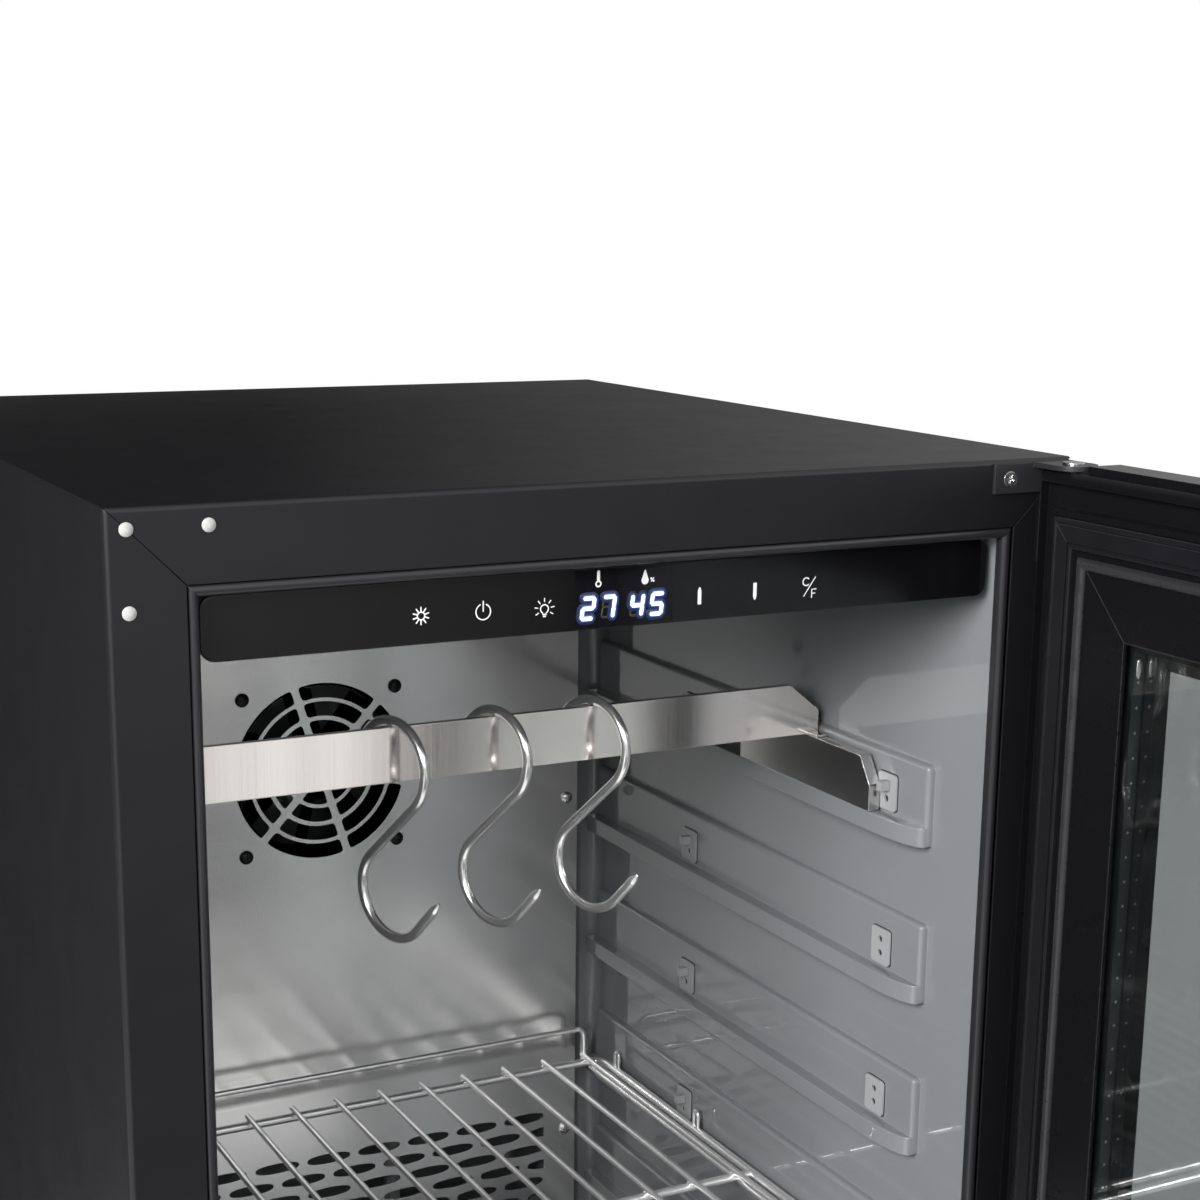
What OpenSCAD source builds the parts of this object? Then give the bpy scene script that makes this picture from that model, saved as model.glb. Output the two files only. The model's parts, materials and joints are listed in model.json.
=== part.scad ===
// Meat dry ageing cabinet: insulated casing, moulded liner, rear air cover, hanging rail with hooks,
// wire shelf, triple-glazed door and a cooling unit in the bay under the chamber's rear step.
// Frame: X to the right, Y into the cabinet, Z up. The origin is on the floor, mid-width, in the plane
// of the front flange. The door is drawn open.

/* [Casing] */
// Width of the cabinet
cab_w = 495; // [470:5:600]
// Height from the floor to the top panel
cab_h = 840; // [830:5:960]
// Depth of the casing behind the front flange
body_d = 540; // [535:5:620]
// Height of the base pan above the floor
foot_h = 22; // [18:1:30]
// Thickness of the outer sheet panels
sheet = 1; // [0.8:0.1:1.4]
// Width of the front flange
flange_w = 34; // [30:1:40]
// Outside bend radius of the folded panel edges
bend_r = 2.5; // [2:0.5:4]
// Gap at the mitred flange corners
mitre_gap = 0.4; // [0.2:0.1:0.8]
// Height of the kick grille
kick_h = 38; // [30:1:48]
// Height of the front crossrail above the kick grille
crossrail_h = 69; // [66:1:80]
// Width of the bead trim round the opening
trim_w = 5.5; // [4:0.5:8]

/* [Liner] */
// Wall thickness of the moulded liner
liner_t = 2; // [1.5:0.5:3]
// How far the liner's walls stand outside the trim's inner edge
liner_inset = 2; // [1:0.5:3]
// Depth of the chamber from the front flange
chamber_d = 444; // [435:1:450]
// Depth of the evaporator pocket behind the chamber's back wall
pocket_d = 53; // [48:1:56]
// Half width of the evaporator pocket
pocket_half = 168; // [160:1:174]
// Front of the step over the cooling unit
step_y = 305; // [295:5:310]
// Top of the step over the cooling unit
step_z = 225; // [222:1:228]
// Foam between the step and the cooling unit's bay
step_foam = 35; // [30:1:36]
// Drop of the first shelf ledge below the top panel
ledge_drop = 204.5; // [195:0.5:210]
// Vertical pitch of the ledges
ledge_pitch = 90; // [84:1:96]
// Height of a ledge's lip
ledge_t = 11; // [9:0.5:14]
// How far the ledge stands out from the side wall
ledge_out = 13.5; // [12:0.5:15]
// How far the pad above a ledge stands out from the side wall
pad_out = 5; // [4:0.5:6]
// Height of the pad above its ledge
pad_h = 34.5; // [30:0.5:40]
// Front end of the ledges
ledge_y = 50; // [44:1:56]

/* [Rear air cover] */
// Gap between the rear air cover and the chamber's back wall
cover_gap = 9; // [8:0.5:12]
// Half width of the rear air cover
cover_half = 188.7; // [180:0.1:190]
// Size of the circulation fan
fan_size = 120; // [110:1:124]
// Depth of both fans
fan_depth = 25; // [20:1:28]
// Spacing of the fan's screws
fan_pitch = 105; // [98:1:106]
// Drop of the fan's axis below the top panel
fan_drop = 241; // [230:1:250]
// Drop of the first vent row below the top panel
vent_drop = 516; // [510:1:525]
// Length of a vent slot
vent_l = 31; // [26:1:33]
// Height of a vent slot
vent_t = 7; // [5:0.5:8]

/* [Rail, hooks and shelf] */
// Height of the hanging bar
bar_h = 30; // [25:1:36]
// Thickness of the hanging bar
bar_t = 4; // [3:0.5:5]
// Distance of the bar from the front flange
bar_y = 157; // [140:1:170]
// Length of a rail bracket
bracket_l = 138; // [130:1:146]
// Height of a rail bracket
bracket_h = 30.3; // [26:0.1:33]
// Wire diameter of a hook
hook_wire = 5.5; // [4:0.5:6]
// Bend radius of a hook at the middle of its wire
hook_r = 25; // [22:0.5:27]
// Overall length of a hook
hook_l = 124; // [120:1:130]
// Distance between the hooks
hook_pitch = 58.75; // [56:0.25:70]
// How far the hooks stand turned on the bar
hook_turn = 70; // [60:1:90]
// Diameter of the shelf's frame wire
frame_wire = 6; // [5:0.5:7]
// Diameter of the shelf's bars
rung_wire = 4; // [3:0.5:5]
// Distance between the shelf's bars
rung_pitch = 31; // [28:0.5:34]
// Ledge that carries the shelf, counted from the top
shelf_level = 4; // [3:1:5]
// Front of the shelf
shelf_y0 = 78; // [76:1:90]
// Gap between the shelf and the chamber's back wall
shelf_gap = 30; // [28:1:40]

/* [Door] */
// Depth of the door frame
door_t = 36; // [34:1:42]
// Distance of the hinge axis from the casing's side
hinge_in = 13; // [12:0.5:14]
// Distance of the hinge axis in front of the flange
hinge_out = 18; // [17.5:0.5:20]
// Angle at which the door is drawn open
door_open = 90; // [60:5:100]
// Diameter of the hinge pins
pin_d = 8; // [6:0.5:8.5]
// Width of the frame's flat border round the glass
border_r = 75; // [70:1:80]
// Thickness of the inner and middle panes
pane_t = 3.2; // [3:0.1:4]
// Thickness of the outer pane
outer_pane_t = 4; // [3:0.5:5]
// Gap between the panes
pane_gap = 6.3; // [5:0.1:7]
// Length of the door handle
handle_l = 320; // [250:10:400]
// Diameter of the door handle
handle_d = 14; // [12:1:18]

/* [Controls] */
// Height of the gloss fascia
fascia_h = 29; // [26:1:32]
// Distance of the fascia behind the front flange
fascia_y = 10; // [8:0.5:12]
// Thickness of the fascia
fascia_t = 3; // [2:0.5:4]
// Depth of the control housing behind the fascia
housing_d = 58; // [50:1:70]

/* [Hidden] */
$fn = 48;

// Clearances
seat_gap = 0.2;
slide_gap = 0.5;
pin_gap = 0.05;
big = 2000;

// Levels and widths of the casing
half_w = cab_w / 2;
kick_z = foot_h + kick_h;
open_z0 = kick_z + crossrail_h;
open_z1 = cab_h - flange_w;
mouth_half = half_w - flange_w - trim_w;
mouth_z0 = open_z0 + trim_w;
mouth_z1 = open_z1 - trim_w;
wall_x = mouth_half + liner_inset;
floor_z = mouth_z0 - liner_inset;
ceiling_z = mouth_z1 + liner_inset;
liner_y0 = 6.2;
pan_t = 1.5;
bay_z = step_z - liner_t - step_foam;
bay_y = step_y + liner_t + step_foam;
foam_z0 = open_z0 - flange_w;
foot_x = half_w - 45;
foot_y0 = 45;
foot_y1 = body_d - 50;
rear_foot_r = 18;
foot_stud_r = 5;
foot_pin_r = 3;

// Rear air cover
cover_y = chamber_d - cover_gap;
cover_z0 = step_z + 3;
cover_z1 = ceiling_z - 6;
fan_z = cab_h - fan_drop;
shaft_r = 3;
vent_row = 12.5;
vent_col = 37;
vent_half = 164;
vent_rows = floor((cab_h - vent_drop - cover_z0 - vent_t) / vent_row) + 1;
cover_screw_x = cover_half - 8.5;
cover_screw_z = [cover_z1 - 86.5, cover_z1 - 236.5, cover_z0 + 83];
pocket_z0 = step_z + 33;
pocket_z1 = ceiling_z - 10;

// Ledges, their pads and the clips on them
ledge1_z = cab_h - ledge_drop;
ledge_count = floor((ledge1_z - floor_z - 40) / ledge_pitch) + 1;
ledge_x = wall_x - ledge_out;
pad_x = wall_x - pad_out;
clip_front_y = ledge_y + 35.5;
clip_back_y = clip_front_y + 0.565 * (cover_y - ledge_y);
clip_w = 17.5;
clip_h = 21;
clip_t = 1.5;
clip_rise = 12.5;
peg_r = 1.85;
function ledge_z(level) = ledge1_z - (level - 1) * ledge_pitch;
function ledge_end(level) = ledge_z(level) - ledge_t < step_z + 2 ? step_y - 6 : cover_y;

// Hanging rail and hooks
bracket_y0 = ledge_y + 41;
bracket_top = ledge1_z + seat_gap + bracket_h;
bar_z0 = bracket_top;
bar_z1 = bar_z0 + bar_h;
bar_half = wall_x - 7;
hook_seat = 0.3;
hook_top_z = bar_z1 + hook_seat - hook_r + hook_wire / 2;
hook_low_z = hook_top_z - hook_l + 2 * hook_r + hook_wire;
hook_lean = asin(2 * hook_r / (hook_top_z - hook_low_z));
hook_mid_x = -2;

// Wire shelf
shelf_y1 = chamber_d - shelf_gap;
shelf_z = ledge_z(shelf_level) + slide_gap + frame_wire / 2;
shelf_x = ledge_x + frame_wire / 2 - 0.5;
rung_z = shelf_z + (frame_wire + rung_wire) / 2 - 0.6;
rung_half = floor((shelf_x - 10) / rung_pitch) * rung_pitch;
shelf_corner = 12;

// Door
hinge_x = half_w - hinge_in;
door_z0 = open_z0 - flange_w + 2;
door_drop = 4.8;
door_z1 = cab_h - door_drop;
door_h = door_z1 - door_z0;
door_zc = (door_z0 + door_z1) / 2;
rim_w = 5;
groove_w = 12;
step_r = rim_w + groove_w;
gasket_r = 21;
gasket_w = 14;
bead_r = gasket_r + gasket_w + 3.5;
bead_w = 6;
pane_r = bead_r + bead_w + 8.5;
face_y = -3.5;
lip_t = 2;
glass_y = face_y - lip_t - 0.5;
middle_y = glass_y - pane_t - pane_gap;
outer_y = middle_y - pane_t - pane_gap;
glass_back = outer_y - outer_pane_t - 0.5;
front_lip_r = pane_r + 10;
spacer_r = border_r + 3.5;
swing_r = hinge_out - 2.7;
pin_r = pin_d / 2;
bush_r = pin_r + 2.5;
plate_t = 1.8;
tongue_t = 2.5;
tongue_r = 12;
pin_depth = 24;
plug_r = 2.2;
plug_in = 9.5;
plug_far = 44.2;
screw_far = 39;
screw_r = 2;
lower_plate_z = door_z0 - 3;
handle_x = half_w - 32;
handle_out = 36;
handle_stud_r = 2.5;
handle_posts = [for (s = [-1, 1]) door_zc + s * (handle_l / 2 - 30)];

// Controls
fascia_half = wall_x - 4.5;
fascia_z1 = mouth_z1 - 1.5;
fascia_z0 = fascia_z1 - fascia_h;
housing_y0 = fascia_y + fascia_t + seat_gap;
housing_z0 = fascia_z0 + 6;
lamp_half = fascia_half - 95.5;

// Cooling unit
panel_half = half_w - sheet - 0.3;
pan_z1 = foot_h + pan_t;
bay_mid_y = (bay_y + body_d) / 2;
comp_x = 60;
comp_r = 70;
comp_z0 = pan_z1 + 14;
comp_h = 118;
mount_in = 60;
bolt_r = 3;
sleeve_r = 6.7;
fan2_x = -150;
fan2_z = (pan_z1 + bay_z) / 2;
inlet_x = fan2_x + 55;
inlet_z = foot_h + 6;
inlet_w = 30;
inlet_h = 24;
cond_x = fan2_x - fan_depth - 8;
cond_d = 38;
drain_x = comp_x;
drier_x = comp_x - comp_r - 65;
drain_r = 6;
pipe_r = 4;
pipe_x = -120;
evap_y = cover_y + 16;
pipe_y = evap_y + 10;
pipe_bend = 12;
evap_d = 34;
evap_half = 150;
evap_z1 = fan_z - fan_size / 2 - 16;
evap_h = 130;
trough_z0 = evap_z1 - evap_h - 28;
function shell_x(y) = comp_x - sqrt(pow(comp_r, 2) - pow(y - bay_mid_y, 2));

black = "#26262a";
grey = "#85888c";
steel = "#b9b9b6";
chrome = "#d0d2d4";

module box3(lo, hi) {
    translate(lo) cube(hi - lo);
}

module both_sides() {
    children();
    mirror([1, 0, 0]) children();
}

module rounded(w, h, r) {
    square([w - 2 * r, h], center = true);
    square([w, h - 2 * r], center = true);
    for (x = [-1, 1], y = [-1, 1]) {
        translate([x * (w / 2 - r), y * (h / 2 - r)]) circle(r);
    }
}

// Cylinder along Y from y0 to y1
module rod_y(x, z, r, y0, y1) {
    translate([x, y1, z]) rotate([90, 0, 0]) cylinder(r = r, h = y1 - y0);
}

// Cylinder along X from x0 to x1
module rod_x(y, z, r, x0, x1) {
    translate([x0, y, z]) rotate([0, 90, 0]) cylinder(r = r, h = x1 - x0);
}

// Cylinder along Z from z0 to z1
module rod_z(x, y, r, z0, z1) {
    translate([x, y, z0]) cylinder(r = r, h = z1 - z0);
}

// Plate in the XZ plane from y0 to y1, whose outline is drawn in X and Z
module plate_y(y0, y1) {
    translate([0, y1, 0]) rotate([90, 0, 0]) linear_extrude(y1 - y0) children();
}

// Rail along X whose profile is drawn inward from its outer edge, with both ends mitred
module mitred_rail(length, depth, gap = 0) {
    intersection() {
        translate([-length / 2, 0, 0]) rotate([0, 90, 0]) linear_extrude(length) children();
        plate_y(-big / 2, big / 2) polygon([
            [-length / 2 + gap, 0],
            [length / 2 - gap, 0],
            [length / 2 - depth - gap, -depth],
            [-length / 2 + depth + gap, -depth]
        ]);
    }
}

// One side of a rectangular frame: top, bottom, right or left
module frame_side(side, w, z0, z1, depth, gap = 0) {
    if (side == "top") translate([0, 0, z1]) mitred_rail(w, depth, gap) children();
    if (side == "bottom") translate([0, 0, z0]) mirror([0, 0, 1]) mitred_rail(w, depth, gap) children();
    if (side == "right") {
        translate([w / 2, 0, (z0 + z1) / 2]) rotate([0, 90, 0]) mitred_rail(z1 - z0, depth, gap) children();
    }
    if (side == "left") mirror([1, 0, 0]) frame_side("right", w, z0, z1, depth, gap) children();
}

module whole_frame(w, z0, z1, depth) {
    for (side = ["top", "bottom", "right", "left"]) {
        frame_side(side, w, z0, z1, depth) children();
    }
}

// Places what is drawn with the door closed at the angle where it stands open
module door_pose() {
    translate([hinge_x, -hinge_out, 0]) rotate([0, 0, door_open])
        translate([-hinge_x, hinge_out, 0]) children();
}

// Folded edge in plan: a leg along +Y and a leg along +X, with a rounded outer corner at the origin
module folded_edge(leg_x, leg_y) {
    difference() {
        union() {
            translate([bend_r, 0]) square([leg_x - bend_r, sheet]);
            translate([0, bend_r]) square([sheet, leg_y - bend_r]);
            intersection() {
                translate([bend_r, bend_r]) circle(bend_r);
                square(bend_r);
            }
        }
        translate([bend_r, bend_r]) circle(bend_r - sheet);
    }
}

// Places of the plugs in the spare hinge holes, and of the hinge screws, as [x, z]
function corner_holes(side, far, z, down) = [
    [side * (half_w - plug_in), z - down * plug_in],
    [side * (half_w - far), z - down * plug_in],
    [side * (half_w - plug_in), z - down * plug_far]
];
plug_places = concat(corner_holes(-1, plug_far, cab_h, 1), corner_holes(-1, plug_far, lower_plate_z, 1));
screw_places = concat(corner_holes(1, screw_far, cab_h, 1), corner_holes(1, screw_far, lower_plate_z, 1));

module front_holes(r) {
    for (p = concat(plug_places, screw_places)) {
        rod_y(p[0], p[1], r, -1, 14);
    }
}

// Casing

module right_side() {
    difference() {
        union() {
            intersection() {
                translate([half_w, 0, foot_h]) mirror([1, 0, 0])
                    linear_extrude(cab_h - sheet - foot_h) folded_edge(flange_w, body_d);
                plate_y(-1, big) polygon([
                    [0, 0],
                    [half_w, 0],
                    [half_w, cab_h - mitre_gap],
                    [half_w - sheet, cab_h - sheet],
                    [half_w - flange_w, open_z1 - mitre_gap],
                    [0, open_z1 - mitre_gap]
                ]);
            }
            box3([half_w - 15, body_d - sheet, foot_h], [half_w, body_d, cab_h - sheet]);
        }
        front_holes(screw_r + 0.3);
    }
}

module right_side_panel() {
    color(black) right_side();
}

module left_side_panel() {
    color(black) mirror([1, 0, 0]) difference() {
        right_side();
        for (p = plug_places) rod_y(-p[0], p[1], plug_r + seat_gap, -1, 14);
    }
}

module top_panel() {
    color(black) difference() {
        union() {
            intersection() {
                translate([-half_w, 0, cab_h]) rotate([0, 90, 0])
                    linear_extrude(cab_w) folded_edge(flange_w, body_d);
                plate_y(-1, big) polygon([
                    [-half_w, cab_h],
                    [half_w, cab_h],
                    [half_w, cab_h - sheet],
                    [half_w - mitre_gap - sheet, cab_h - sheet],
                    [half_w - flange_w - mitre_gap, open_z1],
                    [-half_w + flange_w + mitre_gap, open_z1],
                    [-half_w + mitre_gap + sheet, cab_h - sheet],
                    [-half_w, cab_h - sheet]
                ]);
            }
            box3([-half_w + 16, body_d - sheet, cab_h - 15], [half_w - 16, body_d, cab_h - sheet / 2]);
        }
        front_holes(screw_r + 0.3);
        for (p = plug_places) rod_y(p[0], p[1], plug_r + seat_gap, -1, 14);
    }
}

module back_panel() {
    color(black) box3([-panel_half, body_d - 2 * sheet, bay_z + 2],
        [panel_half, body_d - sheet, cab_h - sheet - 0.3]);
}

module base_pan() {
    color("#3a3c3f") difference() {
        union() {
            box3([-panel_half, sheet + 0.5, foot_h], [panel_half, body_d - 2 * sheet - 0.5, pan_z1]);
            both_sides() box3([panel_half - pan_t, 12, foot_h], [panel_half, body_d - 12, foot_h + 20]);
            both_sides() rod_z(foot_x, foot_y0, 11, pan_z1 - 0.2, pan_z1 + 14);
        }
        both_sides() rod_z(foot_x, foot_y0, foot_stud_r + pin_gap, 0, pan_z1 + 20);
        both_sides() rod_z(foot_x, foot_y1, foot_pin_r + seat_gap, 0, pan_z1 + 20);
        for (x = [-1, 1], y = [-1, 1]) {
            rod_z(comp_x + x * mount_in, bay_mid_y + y * mount_in, bolt_r + seat_gap, 0, pan_z1 + 5);
        }
        for (x = [-4 : 4]) translate([x * 40 - 10, 120, foot_h - 1]) cube([20, 110, 5]);
    }
}

module front_crossrail() {
    color(black) difference() {
        union() {
            box3([-half_w + flange_w + 0.2, 0, kick_z], [half_w - flange_w - 0.2, sheet, open_z0]);
            box3([-half_w + flange_w + 0.2, sheet, kick_z], [half_w - flange_w - 0.2, 46, kick_z + sheet]);
        }
        front_holes(screw_r + 0.3);
        for (p = plug_places) rod_y(p[0], p[1], plug_r + seat_gap, -1, 14);
    }
}

module kick_grille() {
    slot_l = 24;
    columns = floor((half_w - flange_w - 8) / (slot_l + 6));
    color("#1c1c1f") difference() {
        union() {
            box3([-half_w + flange_w + 1, 3, foot_h + 2], [half_w - flange_w - 1, 5.5, kick_z - 0.5]);
            for (z = [foot_h + 2, kick_z - 4.5]) {
                box3([-half_w + flange_w + 1, 5, z], [half_w - flange_w - 1, 14, z + 2]);
            }
        }
        for (i = [-columns : columns - 1], row = [0 : 2]) {
            translate([i * (slot_l + 6) + 3, 0, foot_h + 9 + row * 9]) cube([slot_l, 8, 4.5]);
        }
    }
}

// Side view of the liner, grown outward by its wall
module liner_outline(grow) {
    polygon([
        [liner_y0, floor_z - grow],
        [step_y + grow, floor_z - grow],
        [step_y + grow, step_z - grow],
        [chamber_d + grow, step_z - grow],
        [chamber_d + grow, ceiling_z + grow],
        [liner_y0, ceiling_z + grow]
    ]);
}

module liner_block(grow) {
    half = wall_x + grow;
    translate([-half, 0, 0]) rotate([90, 0, 90]) linear_extrude(2 * half) liner_outline(grow);
    box3([-pocket_half - grow, chamber_d - 5, pocket_z0 - grow],
        [pocket_half + grow, chamber_d + pocket_d + grow, pocket_z1 + grow]);
}

module insulation_foam() {
    back = body_d - 2 * sheet;
    foam_back = 6;
    color("#e5d9a8") difference() {
        box3([-half_w + sheet, bend_r, foam_z0], [half_w - sheet, back, cab_h - sheet]);
        liner_block(liner_t);
        box3([flange_w - half_w - foam_back, 0, open_z0 - foam_back],
            [half_w - flange_w + foam_back, liner_y0 + 2, open_z1 + foam_back]);
        box3([-big, bay_y, 0], [big, big, bay_z]);
        front_holes(plug_r + 2 * seat_gap);
        rod_z(drain_x, evap_y + 20, drain_r + 0.3, bay_z - 1, pocket_z0);
        rod_z(pipe_x, pipe_y, pipe_r + 0.3, bay_z - 1, pocket_z0);
    }
}

// Ledge with its pad on the right wall
module ledge(level) {
    z = ledge_z(level);
    y1 = ledge_end(level);
    nose = 34;
    pad_top = z + pad_h;
    translate([wall_x + 0.5, 0, 0]) rotate([90, 0, -90]) linear_extrude(pad_out + 0.5) polygon([
        [-y1, z - ledge_t],
        [-ledge_y, z - ledge_t],
        [-ledge_y, pad_top - 3],
        [-ledge_y - 3, pad_top],
        [-y1, pad_top]
    ]);
    translate([0, 0, z - ledge_t]) linear_extrude(ledge_t) polygon([
        [wall_x + 0.5, ledge_y],
        [pad_x - 0.5, ledge_y],
        [ledge_x + 1.2, ledge_y + nose - 6],
        [ledge_x, ledge_y + nose],
        [ledge_x, y1],
        [wall_x + 0.5, y1]
    ]);
}

module inner_liner() {
    color(grey) difference() {
        union() {
            difference() {
                liner_block(liner_t);
                translate([-wall_x, 0, 0]) rotate([90, 0, 90]) linear_extrude(2 * wall_x) polygon([
                    [0, floor_z],
                    [step_y, floor_z],
                    [step_y, step_z],
                    [chamber_d, step_z],
                    [chamber_d, ceiling_z],
                    [0, ceiling_z]
                ]);
                box3([-pocket_half, step_y, pocket_z0], [pocket_half, chamber_d + pocket_d, pocket_z1]);
            }
            both_sides() for (level = [1 : ledge_count]) ledge(level);
        }
        both_sides() for (z = cover_screw_z) rod_y(cover_screw_x, z, screw_r + pin_gap, chamber_d - 4, big);
        rod_z(drain_x, evap_y + 20, drain_r + 0.3, step_z, pocket_z0 + 1);
        rod_z(pipe_x, pipe_y, pipe_r + 0.3, step_z, pocket_z0 + 1);
    }
}

module opening_trim() {
    color("#303034") whole_frame(cab_w - 2 * flange_w - 0.3, open_z0 + 0.15, open_z1 - 0.15, trim_w) union() {
        translate([0, 2.5]) square([trim_w, liner_y0 - 2.7]);
        translate([trim_w / 2, 2.9]) circle(trim_w / 2);
    }
}

module rear_bay_cover() {
    color("#2b2b2e") difference() {
        box3([-panel_half, body_d - 2 * sheet, foot_h + 0.5], [panel_half, body_d - sheet, bay_z + 1]);
        for (x = [-5 : 5], row = [0 : 5]) {
            translate([x * 36 - 13, body_d - 10, pan_z1 + 34 + row * 18]) cube([26, 20, 6]);
        }
        box3([inlet_x - inlet_w / 2 - seat_gap, body_d - 10, inlet_z - seat_gap],
            [inlet_x + inlet_w / 2 + seat_gap, body_d + 10, inlet_z + inlet_h + seat_gap]);
    }
}

module power_inlet() {
    half = inlet_w / 2;
    color("#1a1a1a") translate([inlet_x, body_d, inlet_z]) difference() {
        union() {
            box3([-half, -24, 0], [half, 0, inlet_h]);
            box3([-half - 5, -sheet, -3], [half + 5, 1.5, inlet_h + 3]);
        }
        box3([3 - half, -18, 4], [half - 3, 12, inlet_h - 4]);
    }
    color(steel) for (x = [-7, 0, 7]) {
        translate([inlet_x + x - 1, body_d - 19, inlet_z + inlet_h / 2 - 2]) cube([2, 14, 4]);
    }
}

module foot(x, y) {
    color("#1d1d1f") {
        rod_z(x, y, 19, 0, 9);
        rod_z(x, y, 8, 9, 13);
    }
    color(steel) rod_z(x, y, foot_stud_r, 12, pan_z1 + 12);
}

module front_left_foot() {
    foot(-foot_x, foot_y0);
}

module front_right_foot() {
    foot(foot_x, foot_y0);
}

module rear_feet() {
    color("#1d1d1f") both_sides() {
        rod_z(foot_x, foot_y1, rear_foot_r, 0, foot_h);
        rod_z(foot_x, foot_y1, foot_pin_r, foot_h - 1, pan_z1);
    }
}

// Chamber

module clip_plates() {
    color("#a9abad") both_sides() for (level = [1 : ledge_count], y = [clip_front_y, clip_back_y]) {
        if (y + clip_w < ledge_end(level)) {
            translate([pad_x - clip_t, y, ledge_z(level) + clip_rise]) rotate([0, 90, 0])
                linear_extrude(clip_t - 0.02) difference() {
                    rounded(clip_h, clip_w, 2.5);
                    for (z = [-4, 4]) translate([z, 0]) circle(peg_r + pin_gap);
                }
        }
    }
}

// Square peg with a pin that plugs into the upper hole of a clip plate
module clip_peg(y, level) {
    block = [6.2, 4, 5.4];
    forward = 1.2;
    let_in = 0.8;
    root = pad_x - clip_t - seat_gap;
    z = ledge_z(level) + clip_rise + 4;
    rod_x(y, z, peg_r, root - let_in, pad_x - 0.1);
    translate([root - block[0], y - forward - block[1] / 2, z - block[2] / 2]) cube(block);
}

module clip_pegs() {
    color("#b4b6b8") both_sides() {
        clip_peg(clip_front_y, 1);
        for (level = [2, 3, 4]) clip_peg(clip_back_y, level);
    }
}

// Ring of arc slots in the fan grille, cut by the spokes
module grille_slots() {
    rings = [[61, 51], [48.5, 38.5], [35.5, 26], [23.5, 14]];
    spoke = 5;
    difference() {
        for (r = rings) {
            difference() {
                circle(r[0] * fan_size / 124);
                circle(r[1] * fan_size / 124);
            }
        }
        for (a = [47 : 60 : 167]) rotate(a) square([3 * fan_size, spoke], center = true);
    }
}

// Lens-shaped vent slot
module vent_slot() {
    flat = vent_l - 2 * vent_t;
    polygon([
        [-vent_l / 2, 0],
        [-flat / 2, -vent_t / 2],
        [flat / 2, -vent_t / 2],
        [vent_l / 2, 0],
        [flat / 2, vent_t / 2],
        [-flat / 2, vent_t / 2]
    ]);
}

module vent_field() {
    columns = ceil(vent_half / vent_col) + 1;
    intersection() {
        for (row = [0 : vent_rows - 1], i = [-columns : columns]) {
            translate([(i + (row % 2) / 2) * vent_col, cab_h - vent_drop - row * vent_row]) vent_slot();
        }
        translate([-vent_half, 0]) square([2 * vent_half, big]);
    }
}

module evaporator_cover() {
    color(steel) difference() {
        union() {
            box3([-cover_half, cover_y, cover_z0], [cover_half, cover_y + 1, cover_z1]);
            both_sides() box3([cover_half - 1, cover_y, cover_z0], [cover_half, chamber_d - 0.2, cover_z1]);
        }
        plate_y(cover_y - 1, cover_y + 2) vent_field();
        plate_y(cover_y - 1, cover_y + 2) translate([0, fan_z]) grille_slots();
        for (x = [-1, 1], z = [-1, 1]) {
            rod_y(x * fan_pitch / 2, fan_z + z * fan_pitch / 2, screw_r + 0.3, cover_y - 1, cover_y + 2);
        }
        both_sides() for (z = cover_screw_z) rod_y(cover_screw_x, z, screw_r + 0.3, cover_y - 1, cover_y + 2);
    }
}

// Pan head screw along Y, with a cross recess in its head
module pan_screw(x, z, y, length, head) {
    difference() {
        union() {
            translate([x, y, z]) rotate([90, 0, 0]) intersection() {
                cylinder(r = head, h = 2.4);
                translate([0, 0, 2.4 - 1.6 * head]) sphere(1.6 * head);
            }
            rod_y(x, z, screw_r, y - 0.1, y + length);
        }
        for (a = [0, 90]) {
            translate([x, y - 2.4, z]) rotate([0, a, 0]) cube([1.2 * head, 2, 0.9], center = true);
        }
    }
}

module cover_screws() {
    color(steel) both_sides() for (z = cover_screw_z) {
        pan_screw(cover_screw_x, z, cover_y - 0.02, chamber_d + liner_t - cover_y - 0.4, 4);
    }
}

module fan_screws() {
    color("#1b1b1c") for (x = [-1, 1], z = [-1, 1]) {
        pan_screw(x * fan_pitch / 2, fan_z + z * fan_pitch / 2, cover_y - 0.02, fan_depth, 4.6);
    }
}

// Axial fan drawn round the Y axis, with its inlet face at y = 0
module fan_housing() {
    strut = 5;
    difference() {
        union() {
            difference() {
                plate_y(0, fan_depth) rounded(fan_size, fan_size, 6);
                rod_y(0, 0, fan_size / 2 - 2.5, -1, fan_depth + 1);
            }
            rod_y(0, 0, 21, fan_depth - 4, fan_depth);
            for (a = [20 : 120 : 260]) rotate([0, a, 0])
                translate([10, fan_depth - 3.6, -strut / 2]) cube([fan_size / 2 - 11, 3.2, strut]);
        }
        for (x = [-1, 1], z = [-1, 1]) {
            rod_y(x * fan_pitch / 2, z * fan_pitch / 2, screw_r + 0.3, -1, fan_depth + 1);
        }
        rod_y(0, 0, shaft_r + pin_gap, fan_depth - 5, fan_depth + 1);
    }
}

module fan_wheel() {
    tip = fan_size / 2 - 4.5;
    intersection() {
        union() for (a = [0 : 360 / 7 : 359]) rotate([0, a, 0]) translate([12, fan_depth / 2 - 2, 0])
            rotate([38, 0, 0]) translate([0, -11, -0.9]) cube([tip, 22, 1.8]);
        rod_y(0, 0, tip, 2, fan_depth - 6);
    }
    rod_y(0, 0, 20, 2, fan_depth - 6);
    rod_y(0, 0, shaft_r, fan_depth - 7, fan_depth - 0.5);
}

module fan_frame() {
    color("#1f1f22") translate([0, cover_y + 1.2, fan_z]) fan_housing();
}

module fan_rotor() {
    color("#2a2a2d") translate([0, cover_y + 1.2, fan_z]) fan_wheel();
}

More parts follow.
